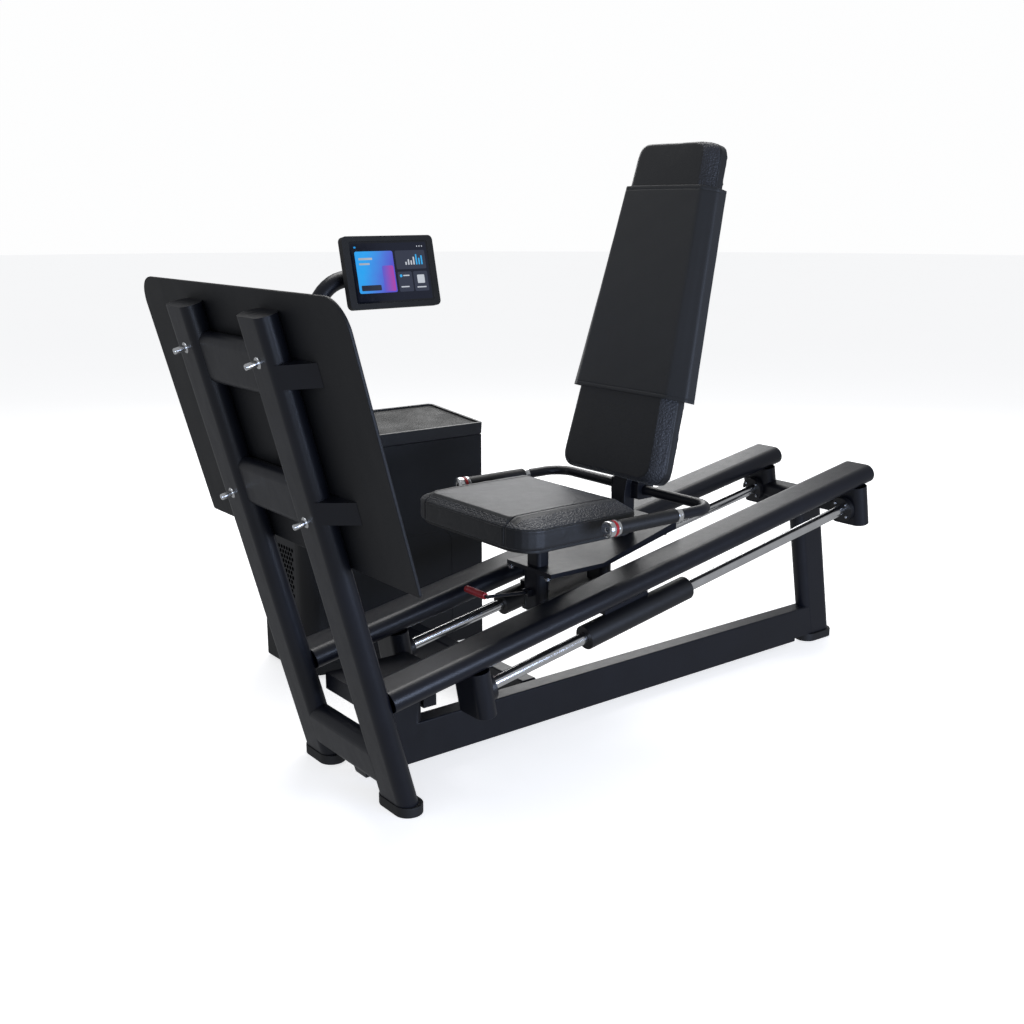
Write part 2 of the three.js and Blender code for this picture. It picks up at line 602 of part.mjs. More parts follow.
function addDisplay() {
  const flange = barZ(ARM_BASE - 10, ARM_BASE + 12, ARM_X, ARM_Y, 94);
  const sleeve = barZ(ARM_BASE, SOCKET_TOP, ARM_X, ARM_Y, ARM_DIAMETER + 14);
  const bore = barZ(ARM_BASE + 7, SOCKET_TOP + 10, ARM_X, ARM_Y, ARM_DIAMETER + 1);
  const below = onLid(box(0, 1200, 400, 1200, -300, TRAY_HEIGHT - TRAY_DEPTH + GAP));
  addPart(origin, 'arm_socket', cut(join(flange, sleeve), bore, below), paint);

  const pole = new THREE.Group();
  pole.position.set(ARM_X, ARM_Y, 0);
  pole.rotation.z = deg(ARM_TURN);
  origin.add(pole);

  const line = [new THREE.Vector3(0, 0, ARM_BASE + 7.5)];
  for (let i = 0; i <= 10; i += 1) {
    const angle = (i / 10) * Math.PI / 2;
    line.push(new THREE.Vector3(
      ARM_BEND - ARM_BEND * Math.cos(angle), 0, ARM_LEVEL - ARM_BEND + ARM_BEND * Math.sin(angle)));
  }
  line.push(new THREE.Vector3(ARM_REACH + 45, 0, ARM_LEVEL));
  addPart(pole, 'display_arm', tubeThrough(line, ARM_DIAMETER, new THREE.Vector3(0, 1, 0), 24), paint);

  const display = new THREE.Group();
  display.position.set(ARM_REACH, 0, ARM_LEVEL);
  display.rotation.x = -deg(DISPLAY_TILT);
  pole.add(display);
  const back = HOUSING_FRONT + HOUSING_DEPTH;
  const casing = prismY(displayOutline(HOUSING_SIZE, 16), HOUSING_FRONT, back);
  const opening = displayOutline(SCREEN_SIZE.map((size) => size + 2 * GAP), 5);
  const pocket = prismY(opening, HOUSING_FRONT - 2, HOUSING_FRONT + 2.5);
  const collar = barX(-32, 32, 0, 0, ARM_DIAMETER + 14);
  const neck = box(-32, 32, back - 1, -10, -24, 24);
  const armHole = barX(-33, 33, 0, 0, ARM_DIAMETER + 1);
  addPart(display, 'display_housing', cut(join(casing, collar, neck), pocket, armHole), plastic);
  const screen = prismY(displayOutline(SCREEN_SIZE, 5), HOUSING_FRONT + 0.3, HOUSING_FRONT + 2.5 - GAP);
  addPart(display, 'display_screen', screen, glass);
}

function displayOutline([width, height], radius) {
  const bottom = DISPLAY_LIFT - height / 2;
  return roundedPath(THREE.Shape, -width / 2, bottom, width / 2, bottom + height, radius);
}

// ---- carriage ----------------------------------------------------------------------------------
const SLEEVE_START = 593;
const SLEEVE_END = 969;
const SLEEVE_DIAMETER = 66;

function addCarriage() {
  for (const [label, side] of sides) {
    const sleeve = barX(SLEEVE_START, SLEEVE_END, side * HALF_GAUGE, -SHAFT_DROP,
      SLEEVE_DIAMETER, SHAFT_DIAMETER + 1);
    addPart(railFrame, `carriage_sleeve_${label}`, sleeve, rubber);
  }
  const plateLow = -SHAFT_DROP + SLEEVE_DIAMETER / 2 + GAP;
  const plate = box(672, 830, -HALF_GAUGE, HALF_GAUGE, plateLow, plateLow + 12);
  const spine = box(570, 866, -45, 45, plateLow, plateLow + 12);
  const anchor = box(ANCHOR_AT, ANCHOR_AT + 20, -14, 14, -SHAFT_DROP - 14, plateLow + 1);
  const base = join(plate, spine, anchor).applyMatrix4(railFrame.matrix);
  const legs = [[585, 338], [810, 378]].map(([x, z]) => {
    const leg = prism(ovalPath(THREE.Shape, 80, 40), z, DECK_BOTTOM + 6);
    return leg.rotateZ(Math.PI / 2).translate(x, 0, 0);
  });
  const deckOutline = polygon([
    [558, DECK_BOTTOM], [748, DECK_BOTTOM], [1015, 512], [1015, 534], [742, DECK_TOP], [558, DECK_TOP],
  ]);
  const deck = prismY(deckOutline, -DECK_HALF_WIDTH, DECK_HALF_WIDTH);
  const lug = box(LEVER_X - 9, 570, -12, 12, LEVER_Z - 9, LEVER_Z + 9);
  const fork = box(LEVER_X - 12, 564, -7.3, 7.3, LEVER_Z - 12, LEVER_Z + 12);
  const pin = barY(-11, 11, LEVER_X, LEVER_Z, 6);
  const pivot = join(cut(lug, fork), pin);
  addPart(origin, 'carriage_frame', join(base, ...legs, deck, pivot), paint);
}

function addLever() {
  const tip = new THREE.Vector3(419, 0, 403);
  const along = tip.clone().sub(new THREE.Vector3(LEVER_X, 0, LEVER_Z));
  const pitch = Math.atan2(along.z, -along.x);
  const rod = barX(-along.length(), -5, 0, 0, 9).rotateY(pitch);
  const knuckle = barY(-7, 7, 0, 0, 16);
  const stub = barY(-4.5, 88, along.x, along.z, 9);
  const lever = cut(join(rod, knuckle, stub), barY(-8, 8, 0, 0, 7));
  addPart(origin, 'lever_rod', lever, darkPaint).position.set(LEVER_X, 0, LEVER_Z);
  const grip = cut(barY(6, 92, 419, 403, 19), barY(0, 88 + GAP, 419, 403, 9 + 2 * GAP));
  addPart(origin, 'lever_grip', grip, red);
}

// ---- seat --------------------------------------------------------------------------------------
// Outline of the seat: square-cut front corners softened by a long curve, closer corners behind.
function seatOutline(front, rear, frontHalf, rearHalf, cornerX, cornerY, rearRadius) {
  const shape = new THREE.Shape();
  shape.moveTo(front, -(frontHalf - cornerY));
  shape.quadraticCurveTo(front + 4, -frontHalf + 14, front + cornerX, -frontHalf);
  shape.lineTo(rear - rearRadius, -rearHalf);
  shape.quadraticCurveTo(rear, -rearHalf, rear, -rearHalf + rearRadius);
  shape.lineTo(rear, rearHalf - rearRadius);
  shape.quadraticCurveTo(rear, rearHalf, rear - rearRadius, rearHalf);
  shape.lineTo(front + cornerX, frontHalf);
  shape.quadraticCurveTo(front + 4, frontHalf - 14, front, frontHalf - cornerY);
  shape.closePath();
  return shape;
}

function level(shape, z) {
  return shape.getPoints(6).slice(0, -1).map((p) => new THREE.Vector3(p.x, p.y, z));
}

function addSeat() {
  const full = seatOutline(SEAT_FRONT, SEAT_REAR, SEAT_HALF_WIDTH, SEAT_HALF_WIDTH, 66, 90, 30);
  const underHalf = SEAT_HALF_WIDTH - 5;
  const under = seatOutline(SEAT_FRONT + 5, SEAT_REAR - 5, underHalf, underHalf, 54, 80, 28);
  const top = seatOutline(SEAT_FRONT + 25, SEAT_REAR - 23, 180, 192, 16, 18, 8);
  const cushion = loft([
    level(under, SEAT_BOTTOM),
    level(full, SEAT_BOTTOM + 6),
    level(full, SEAT_TOP - 23),
    level(top, SEAT_TOP),
  ]);
  addPart(origin, 'seat_cushion', cushion, vinyl);
  const rimHalf = SEAT_HALF_WIDTH - 12;
  const rim = seatOutline(SEAT_FRONT + 12, SEAT_REAR - 12, rimHalf, rimHalf, 50, 76, 24);
  const bottomHalf = SEAT_HALF_WIDTH - 60;
  const bottom = seatOutline(SEAT_FRONT + 60, SEAT_REAR - 40, bottomHalf, bottomHalf, 40, 60, 20);
  const pan = loft([level(bottom, 566), level(rim, 577), level(rim, SEAT_BOTTOM - GAP)]);
  addPart(origin, 'seat_pan', pan, plastic);
  const post = prism(roundedPath(THREE.Shape, 570, -26.5, 610, 26.5, 10), DECK_TOP + GAP, 566 - GAP, 4);
  addPart(origin, 'seat_post', post, paint);
}

// ---- backrest ----------------------------------------------------------------------------------
// Backrest frame: x runs square to the pad towards the rear, z runs up along it.
const backFrame = new THREE.Group();
backFrame.position.set(BACK_FOOT_X, 0, BACK_FOOT_Z);
backFrame.rotation.y = deg(BACK_LEAN);
origin.add(backFrame);

// Tapered outline in y and z with softened corners, placed at a depth x.
function padOutline(x, z0, z1, half0, half1, corner0, corner1) {
  const shape = new THREE.Shape();
  const slope = (half1 - half0) / (z1 - z0);
  shape.moveTo(-half0 + corner0, z0);
  shape.lineTo(half0 - corner0, z0);
  shape.quadraticCurveTo(half0, z0, half0 + slope * corner0, z0 + corner0);
  shape.lineTo(half1 - slope * corner1, z1 - corner1);
  shape.quadraticCurveTo(half1, z1, half1 - corner1, z1);
  shape.lineTo(-half1 + corner1, z1);
  shape.quadraticCurveTo(-half1, z1, -half1 + slope * corner1, z1 - corner1);
  shape.lineTo(-half0 - slope * corner0, z0 + corner0);
  shape.quadraticCurveTo(-half0, z0, -half0 + corner0, z0);
  return shape.getPoints(6).slice(0, -1).map((p) => new THREE.Vector3(x, p.x, p.y));
}

function backPad(swell) {
  return loft([
    padOutline(-swell, 12 - swell, BACK_LENGTH - 8 + swell, 173 + swell, 118 + swell, 46, 36),
    padOutline(10, 3 - swell, BACK_LENGTH - 2 + swell, 188 + swell, 134 + swell, 50, 40),
    padOutline(30, -swell, BACK_LENGTH + swell, 208 + swell, 155 + swell, 54, 44),
    padOutline(BACK_DEPTH + swell, -swell, BACK_LENGTH + swell, 208 + swell, 155 + swell, 54, 44),
  ]);
}

function addBackrest() {
  addPart(backFrame, 'back_cushion', backPad(0), vinyl);
  const z0 = 232;
  const z1 = 797;
  const wrap = loft([
    padOutline(-5, z0 + 4, z1 - 4, 178, 142, 6, 6),
    padOutline(28, z0, z1, 225, 176, 6, 6),
    padOutline(BACK_DEPTH, z0, z1, 225, 176, 6, 6),
  ]);
  addPart(backFrame, 'back_cover', cut(wrap, backPad(GAP)), vinyl);
  const board = prismX(polygon([[-150, 40], [150, 40], [108, 870], [-108, 870]]),
    BACK_DEPTH + GAP + 0.3, BACK_DEPTH + 12);
  addPart(backFrame, 'back_board', board, paint);
}

function addBackColumn() {
  const foot = new THREE.Vector3(BACK_DEPTH + 12 + GAP, 0, 0).applyMatrix4(backFrame.matrix);
  const lean = new THREE.Vector3(0, 0, 1).transformDirection(backFrame.matrix);
  const rear = new THREE.Vector3(1, 0, 0).transformDirection(backFrame.matrix);
  const at = (up, out) => {
    const point = foot.clone().addScaledVector(lean, up).addScaledVector(rear, out);
    return [point.x, point.z];
  };
  const [x0, z0] = at(-40, 0);
  const [x1, z1] = at(-40, 40);
  const outline = polygon([[x0, 480], [x1, 480], [x1, z1], at(420, 40), at(420, 0), [x0, z0]]);
  const column = prismY(outline, -BEAM_WIDTH / 2, BEAM_WIDTH / 2);
  const clamp = prismY(roundedPath(THREE.Shape, HANDLE_CROSS_X - 30, HANDLE_HEIGHT - 25,
    HANDLE_CROSS_X + 30, HANDLE_HEIGHT + 25, 8), -55, 55, 4);
  const bore = barY(-80, 80, HANDLE_CROSS_X, HANDLE_HEIGHT, BAR_DIAMETER + 2 * GAP);
  const deckEdge = [[500, 300], [1100, 300], [1100, 534 + 23.4], [742, DECK_TOP + GAP], [500, DECK_TOP]];
  const deckZone = polygon(deckEdge);
  const fitted = cut(join(column, clamp), bore, prismY(deckZone, -60, 60));
  addPart(origin, 'back_column', fitted, paint);
}

// ---- handlebar ---------------------------------------------------------------------------------
const GRIP_START = 586;
const GRIP_END = 785;

function addHandlebar() {
  const elbow = HANDLE_CROSS_X - HANDLE_BEND;
  const inner = HANDLE_HALF_SPACING - HANDLE_BEND;
  const points = [];
  points.push(new THREE.Vector3(GRIP_START - 18, -HANDLE_HALF_SPACING, 0));
  for (let i = 0; i <= 8; i += 1) {
    const angle = (i / 8) * Math.PI / 2;
    const reach = HANDLE_BEND * Math.cos(angle);
    points.push(new THREE.Vector3(elbow + HANDLE_BEND * Math.sin(angle), -inner - reach, 0));
  }
  for (let i = 8; i >= 0; i -= 1) {
    const angle = (i / 8) * Math.PI / 2;
    const reach = HANDLE_BEND * Math.cos(angle);
    points.push(new THREE.Vector3(elbow + HANDLE_BEND * Math.sin(angle), inner + reach, 0));
  }
  points.push(new THREE.Vector3(GRIP_START - 18, HANDLE_HALF_SPACING, 0));
  const tube = tubeThrough(points, BAR_DIAMETER, new THREE.Vector3(0, 0, 1)).translate(0, 0, HANDLE_HEIGHT);
  addPart(origin, 'handlebar', tube, paint);
  for (const [label, side] of sides) {
    const y = side * HANDLE_HALF_SPACING;
    const grip = barX(GRIP_START, GRIP_END, y, HANDLE_HEIGHT, 37, BAR_DIAMETER + 2 * GAP);
    addPart(origin, `grip_${label}`, grip, rubber);
    const cap = cut(barX(GRIP_START - 36, GRIP_START - GAP, y, HANDLE_HEIGHT, 42),
      barX(GRIP_START - 18 - GAP, GRIP_START + 1, y, HANDLE_HEIGHT, BAR_DIAMETER + 2 * GAP));
    addPart(origin, `handle_cap_${label}`, cap, chrome);
  }
}

for (const frame of [footFrame, railFrame, backFrame]) frame.updateMatrix();
addUprights();
addFrontFeet();
addCrossmembers();
addFootplate();
addRails();
addHangers();
addGuideShafts();
addRearSupport();
addBase();
addPlatform();
addOutrigger();
addCabinet();
addTray();
addCableRun();
addDisplay();
addCarriage();
addLever();
addSeat();
addBackrest();
addBackColumn();
addHandlebar();

export default machine;
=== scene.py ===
import json
import math

import bmesh
import bpy
import numpy as np
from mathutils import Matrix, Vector
from mathutils.bvhtree import BVHTree


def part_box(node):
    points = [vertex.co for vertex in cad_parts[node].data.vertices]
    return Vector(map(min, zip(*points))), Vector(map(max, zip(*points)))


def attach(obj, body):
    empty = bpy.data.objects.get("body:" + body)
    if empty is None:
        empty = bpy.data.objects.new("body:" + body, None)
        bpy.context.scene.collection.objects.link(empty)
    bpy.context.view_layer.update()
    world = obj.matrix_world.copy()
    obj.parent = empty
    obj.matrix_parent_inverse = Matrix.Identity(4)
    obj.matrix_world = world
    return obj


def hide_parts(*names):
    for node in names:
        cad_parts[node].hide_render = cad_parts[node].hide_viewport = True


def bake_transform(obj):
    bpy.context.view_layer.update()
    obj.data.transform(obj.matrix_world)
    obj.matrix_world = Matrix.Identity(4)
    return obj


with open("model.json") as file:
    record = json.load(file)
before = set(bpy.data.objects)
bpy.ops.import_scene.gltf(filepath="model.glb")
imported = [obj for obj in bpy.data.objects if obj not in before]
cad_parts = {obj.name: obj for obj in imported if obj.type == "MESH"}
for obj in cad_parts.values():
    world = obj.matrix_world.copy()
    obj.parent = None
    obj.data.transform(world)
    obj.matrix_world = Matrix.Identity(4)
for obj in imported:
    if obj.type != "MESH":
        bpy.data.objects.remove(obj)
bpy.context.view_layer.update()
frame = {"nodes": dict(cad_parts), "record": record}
nodes = frame["nodes"]
scene = bpy.context.scene

# ---- camera -------------------------------------------------------------------------------------
camera_data = bpy.data.cameras.new("camera")
camera_data.lens = 43.22
camera_data.sensor_width = 36.0
camera_data.clip_end = 200.0
camera = bpy.data.objects.new("camera", camera_data)
scene.collection.objects.link(camera)
camera.location = (-2.17161, -2.70613, 1.39194)
camera.rotation_euler = Vector((-0.5935, -0.7682, 0.2401)).to_track_quat("Z", "Y").to_euler()
scene.camera = camera

# ---- places: millimetres in the design frame to metres in the row frame -------------------------
SHIFT = Vector((764.46, 235.0, 0.0))
RAIL_TURN = math.radians(10.25)
FRONT_TURN = math.radians(14.87)
BACK_TURN = math.radians(14.9)


def place(x, y, z):
    return (Vector((x, y, z)) - SHIFT) / 1000.0


def back_place(d, y, s):
    c, n = math.cos(BACK_TURN), math.sin(BACK_TURN)
    return place(816.0 + d * c + s * n, y, 680.0 - d * n + s * c)


def front_place(t, y, s):
    c, n = math.cos(FRONT_TURN), math.sin(FRONT_TURN)
    return place(t * c - s * n, y, t * n + s * c)


ALONG_RAIL = Vector((math.cos(RAIL_TURN), 0.0, math.sin(RAIL_TURN)))
BEHIND_PAD = Vector((math.cos(BACK_TURN), 0.0, -math.sin(BACK_TURN)))
BEHIND_PLATE = Vector((-math.cos(FRONT_TURN), 0.0, -math.sin(FRONT_TURN)))


# ---- materials ----------------------------------------------------------------------------------
def start_material(name, colour, roughness, metallic, constants):
    material = bpy.data.materials.new(name)
    material.use_nodes = True
    tree = material.node_tree
    shader = tree.nodes["Principled BSDF"]
    shader.inputs["Base Color"].default_value = (*colour, 1.0)
    shader.inputs["Roughness"].default_value = roughness
    shader.inputs["Metallic"].default_value = metallic
    for socket, value in constants.items():
        shader.inputs[socket].default_value = value
    where = tree.nodes.new("ShaderNodeTexCoord")
    return material, tree, shader, where.outputs["Object"]


def noise(tree, where, scale, detail=3.0, stretch=None):
    texture = tree.nodes.new("ShaderNodeTexNoise")
    texture.inputs["Scale"].default_value = scale
    texture.inputs["Detail"].default_value = detail
    if stretch:
        mapping = tree.nodes.new("ShaderNodeMapping")
        mapping.inputs["Scale"].default_value = stretch
        tree.links.new(where, mapping.inputs["Vector"])
        where = mapping.outputs["Vector"]
    tree.links.new(where, texture.inputs["Vector"])
    return texture.outputs["Fac"]


def spread(tree, value, low, high):
    ramp = tree.nodes.new("ShaderNodeMapRange")
    ramp.inputs["From Min"].default_value = 0.3
    ramp.inputs["From Max"].default_value = 0.7
    ramp.inputs["To Min"].default_value = low
    ramp.inputs["To Max"].default_value = high
    tree.links.new(value, ramp.inputs["Value"])
    return ramp.outputs["Result"]


def colour_between(tree, value, low, high):
    mix = tree.nodes.new("ShaderNodeMix")
    mix.data_type = "RGBA"
    mix.inputs[6].default_value = (*low, 1.0)
    mix.inputs[7].default_value = (*high, 1.0)
    tree.links.new(value, mix.inputs[0])
    return mix.outputs[2]


def bump(tree, shader, height, distance, strength=1.0, under=None):
    node = tree.nodes.new("ShaderNodeBump")
    node.inputs["Distance"].default_value = distance
    node.inputs["Strength"].default_value = strength
    tree.links.new(height, node.inputs["Height"])
    if under is not None:
        tree.links.new(under, node.inputs["Normal"])
    tree.links.new(node.outputs["Normal"], shader.inputs["Normal"])
    return node.outputs["Normal"]


def scaled(colour, factor):
    return tuple(min(1.0, channel * factor) for channel in colour)


def coated(name, colour, roughness, grain, depth, clouds=5.0, change=0.2, rough_change=0.035,
           second=None, **constants):
    """Paint, plastic or rubber: slow colour clouds, fine roughness changes and a surface grain."""
    material, tree, shader, where = start_material(name, colour, roughness, 0.0, constants)
    slow = spread(tree, noise(tree, where, clouds, 4.0), 0.0, 1.0)
    colours = colour_between(tree, slow, scaled(colour, 1.0 - change), scaled(colour, 1.0 + change))
    tree.links.new(colours, shader.inputs["Base Color"])
    scuffs = noise(tree, where, clouds * 9.0, 6.0, (1.0, 1.0, 0.35))
    rough = spread(tree, scuffs, roughness - rough_change, roughness + rough_change)
    tree.links.new(rough, shader.inputs["Roughness"])
    normal = bump(tree, shader, noise(tree, where, grain, 2.0), depth)
    if second:
        bump(tree, shader, noise(tree, where, second[0], 2.0), second[1], 1.0, normal)
    return material


def pebbled(name, colour, roughness, cell, depth, change=0.3, **constants):
    """Embossed vinyl: a pebble grain of cells with softer cloudy variation over it."""
    material, tree, shader, where = start_material(name, colour, roughness, 0.0, constants)
    cells = tree.nodes.new("ShaderNodeTexVoronoi")
    cells.feature = "SMOOTH_F1"
    cells.inputs["Scale"].default_value = cell
    cells.inputs["Randomness"].default_value = 1.0
    tree.links.new(where, cells.inputs["Vector"])
    slow = spread(tree, noise(tree, where, 7.0, 4.0), 0.0, 1.0)
    colours = colour_between(tree, slow, scaled(colour, 1.0 - change), scaled(colour, 1.0 + change))
    tree.links.new(colours, shader.inputs["Base Color"])
    rough = spread(tree, cells.outputs["Distance"], roughness - 0.1, roughness + 0.12)
    tree.links.new(rough, shader.inputs["Roughness"])
    normal = bump(tree, shader, cells.outputs["Distance"], depth)
    bump(tree, shader, noise(tree, where, cell * 2.5, 3.0), depth * 0.3, 1.0, normal)
    return material


def polished(name, colour, roughness, lines):
    """Chrome or steel with faint polishing marks round the bar."""
    material, tree, shader, where = start_material(name, colour, roughness, 1.0, {})
    slow = spread(tree, noise(tree, where, 18.0, 4.0), 0.0, 1.0)
    colours = colour_between(tree, slow, scaled(colour, 0.9), scaled(colour, 1.05))
    tree.links.new(colours, shader.inputs["Base Color"])
    marks = noise(tree, where, lines, 3.0, (1.0, 0.12, 0.12))
    rough = spread(tree, marks, roughness * 0.6, roughness * 1.5)
    tree.links.new(rough, shader.inputs["Roughness"])
    bump(tree, shader, marks, 0.00002, 0.4)
    return material


def woven(name, colour, roughness, pitch, depth):
    """Rubber mat with a small diamond weave."""
    material, tree, shader, where = start_material(name, colour, roughness, 0.0, {})
    bands = []
    for turn in (math.radians(45), math.radians(-45)):
        mapping = tree.nodes.new("ShaderNodeMapping")
        mapping.inputs["Rotation"].default_value = (0.0, 0.0, turn)
        tree.links.new(where, mapping.inputs["Vector"])
        wave = tree.nodes.new("ShaderNodeTexWave")
        wave.inputs["Scale"].default_value = pitch
        tree.links.new(mapping.outputs["Vector"], wave.inputs["Vector"])
        bands.append(wave.outputs["Fac"])
    both = tree.nodes.new("ShaderNodeMath")
    both.operation = "MAXIMUM"
    tree.links.new(bands[0], both.inputs[0])
    tree.links.new(bands[1], both.inputs[1])
    colours = colour_between(tree, both.outputs["Value"], scaled(colour, 0.55), scaled(colour, 1.25))
    tree.links.new(colours, shader.inputs["Base Color"])
    slow = noise(tree, where, 14.0, 4.0)
    tree.links.new(spread(tree, slow, roughness - 0.08, roughness + 0.08), shader.inputs["Roughness"])
    bump(tree, shader, both.outputs["Value"], depth)
    return material


def lit(name, low, high, start, direction, strength):
    """A lit patch of the display: a gradient along a direction, slightly clouded."""
    material, tree, shader, where = start_material(name, (0.0, 0.0, 0.0), 0.22, 0.0, {})
    along = tree.nodes.new("ShaderNodeVectorMath")
    along.operation = "DOT_PRODUCT"
    along.inputs[1].default_value = tuple(direction)
    tree.links.new(where, along.inputs[0])
    shifted = tree.nodes.new("ShaderNodeMapRange")
    shifted.inputs["From Min"].default_value = start[0]
    shifted.inputs["From Max"].default_value = start[1]
    tree.links.new(along.outputs["Value"], shifted.inputs["Value"])
    wobble = tree.nodes.new("ShaderNodeMath")
    wobble.operation = "MULTIPLY_ADD"
    wobble.inputs[1].default_value = 0.25
    tree.links.new(noise(tree, where, 22.0, 2.0), wobble.inputs[0])
    tree.links.new(shifted.outputs["Result"], wobble.inputs[2])
    colours = colour_between(tree, wobble.outputs["Value"], low, high)
    tree.links.new(colours, shader.inputs["Emission Color"])
    shader.inputs["Emission Strength"].default_value = strength
    rough = spread(tree, noise(tree, where, 60.0), 0.15, 0.3)
    tree.links.new(rough, shader.inputs["Roughness"])
    return material


PAINT = coated("frame_paint", (0.0068, 0.0078, 0.0125), 0.36, 420.0, 0.00022,
               second=(1500.0, 0.00005),
               **{"Coat Weight": 0.12, "Coat Roughness": 0.3, "Specular IOR Level": 0.36})
PLATE = coated("plate_paint", (0.0095, 0.01, 0.0118), 0.5, 520.0, 0.0003, clouds=2.2, change=0.16,
               rough_change=0.03, second=(1500.0, 0.00006), **{"Specular IOR Level": 0.36})
CABINET = coated("cabinet_paint", (0.0065, 0.007, 0.0085), 0.46, 700.0, 0.00012, clouds=3.0,
                 change=0.2, rough_change=0.04, **{"Specular IOR Level": 0.34})
VENT = coated("vent_paint", (0.012, 0.0125, 0.015), 0.5, 700.0, 0.00012)
FLANGE = coated("flange_paint", (0.012, 0.012, 0.014), 0.34, 800.0, 0.00008)
SLEEVE = coated("sleeve_plastic", (0.011, 0.0112, 0.0125), 0.42, 900.0, 0.0001, clouds=12.0)
FOOT = coated("foot_rubber", (0.009, 0.009, 0.0105), 0.55, 500.0, 0.0002, clouds=14.0)
CHROME = polished("shaft_chrome", (0.93, 0.935, 0.945), 0.17, 900.0)
CABLE = polished("cable_steel", (0.3, 0.31, 0.33), 0.32, 2400.0)
PULLEY = coated("pulley_plastic", (0.018, 0.018, 0.02), 0.45, 900.0, 0.0001)
TRAY = coated("tray_plastic", (0.016, 0.0165, 0.018), 0.42, 900.0, 0.00014, clouds=8.0)
MAT = woven("mat_rubber", (0.017, 0.0173, 0.0176), 0.62, 40.0, 0.0006)
HOUSING = coated("housing_plastic", (0.014, 0.0145, 0.016), 0.47, 1200.0, 0.00009, clouds=16.0)
GLASS = coated("screen_glass", (0.004, 0.006, 0.012), 0.1, 60.0, 0.00001, clouds=10.0,
               rough_change=0.04, **{"Coat Weight": 0.4, "Coat Roughness": 0.05})
VINYL = coated("vinyl", (0.0105, 0.011, 0.0128), 0.46, 620.0, 0.00022, clouds=4.0, change=0.12,
               rough_change=0.025, second=(260.0, 0.0003), **{"Sheen Weight": 0.12, "Sheen Roughness": 0.45})
# The bevel band's base colour is about two and a half times the plain vinyl's. That extra brightness is
# painted light, standing for the light the bevel catches. The pebble grain and bump are the vinyl's real
# texture.
BAND_PAINTED_LIGHT = pebbled("vinyl_textured_painted_light", (0.027, 0.0285, 0.034), 0.5, 210.0, 0.0022,
               **{"Sheen Weight": 0.1, "Sheen Roughness": 0.4})
COVER = coated("vinyl_cover", (0.011, 0.0115, 0.0132), 0.54, 900.0, 0.00018, clouds=3.0,
               change=0.1, rough_change=0.02, second=(300.0, 0.00016),
               **{"Sheen Weight": 0.2, "Sheen Roughness": 0.5})
GRIP = coated("grip_rubber", (0.01, 0.01, 0.011), 0.5, 1100.0, 0.0002, clouds=18.0)
RED = coated("lever_red", (0.42, 0.012, 0.018), 0.38, 900.0, 0.00012, clouds=24.0, change=0.2)
BOLT = polished("bolt_steel", (0.62, 0.63, 0.66), 0.2, 1400.0)
BLACK_BOLT = coated("bolt_black", (0.014, 0.014, 0.016), 0.32, 1500.0, 0.00005)
SEAM = coated("seam_thread", (0.006, 0.006, 0.007), 0.75, 1400.0, 0.0002)

SLOT_MATERIALS = {
    "frame_paint": PAINT, "plate_paint": PLATE, "cabinet_paint": CABINET, "vent_paint": VENT,
    "flange_paint": FLANGE, "sleeve_plastic": SLEEVE, "foot_rubber": FOOT, "shaft_chrome": CHROME,
    "cable_steel": CABLE, "pulley_plastic": PULLEY, "tray_plastic": TRAY, "mat_rubber": MAT,
    "housing_plastic": HOUSING, "screen_glass": GLASS, "vinyl": VINYL, "grip_rubber": GRIP,
    "lever_red": RED,
}


# ---- carried-over CAD nodes: softened edges and smooth shading, as modifiers only ---------------
def smoothing_group():
    group = bpy.data.node_groups.new("smooth_faces", "GeometryNodeTree")
    group.interface.new_socket("Geometry", in_out="INPUT", socket_type="NodeSocketGeometry")
    group.interface.new_socket("Geometry", in_out="OUTPUT", socket_type="NodeSocketGeometry")
    first = group.nodes.new("NodeGroupInput")
    last = group.nodes.new("NodeGroupOutput")
    faces = group.nodes.new("GeometryNodeSetShadeSmooth")
    group.links.new(first.outputs[0], faces.inputs["Geometry"])
    group.links.new(faces.outputs["Geometry"], last.inputs[0])
    return group


SMOOTH = smoothing_group()
EDGE_WIDTH = {"footplate": 0.0022, "display_housing": 0.002, "display_screen": 0.0004, "tray_mat": 0.0006,
              "cabinet_shell": 0.0022, "cabinet_tray": 0.0016, "vent_grille": 0.0005,
              "platform_plate": 0.0012, "power_switch": 0.0005, "front_pulley": 0.0006,
              "idler_pulley": 0.0006, "idler_bracket": 0.0006, "pulley_bracket": 0.0006}


def soften(obj, width):
    weld = obj.modifiers.new("weld", "WELD")
    weld.merge_threshold = 0.000005
    flat = obj.modifiers.new("flat", "DECIMATE")
    flat.decimate_type = "DISSOLVE"
    flat.angle_limit = math.radians(0.6)
    smooth = obj.modifiers.new("smooth", "NODES")
    smooth.node_group = SMOOTH
    bevel = obj.modifiers.new("bevel", "BEVEL")
    bevel.width = width
    bevel.segments = 2
    bevel.limit_method = "ANGLE"
    bevel.angle_limit = math.radians(35)
    normals = obj.modifiers.new("normals", "WEIGHTED_NORMAL")
    normals.keep_sharp = True


slot_of = {part["node"]: part["material_slot"] for part in frame["record"]["subparts"]}
for node_name, obj in nodes.items():
    obj.data.materials.clear()
    obj.data.materials.append(SLOT_MATERIALS[slot_of[node_name]])
    soften(obj, EDGE_WIDTH.get(node_name, 0.0015))


# ---- mesh helpers -------------------------------------------------------------------------------
def finished(name, mesh, body, materials, sharp=35.0, slot=None, replaced=()):
    obj = bpy.data.objects.new(name, mesh)
    scene.collection.objects.link(obj)
    for material in materials:
        mesh.materials.append(material)
    mesh.shade_smooth()
    if sharp:
        mesh.set_sharp_from_angle(angle=math.radians(sharp))
    if body:
        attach(obj, body)
    if replaced:
        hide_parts(*replaced)
    return obj


def mesh_from(name, bm):
    bmesh.ops.recalc_face_normals(bm, faces=bm.faces)
    mesh = bpy.data.meshes.new(name)
    bm.to_mesh(mesh)
    bm.free()
    return mesh


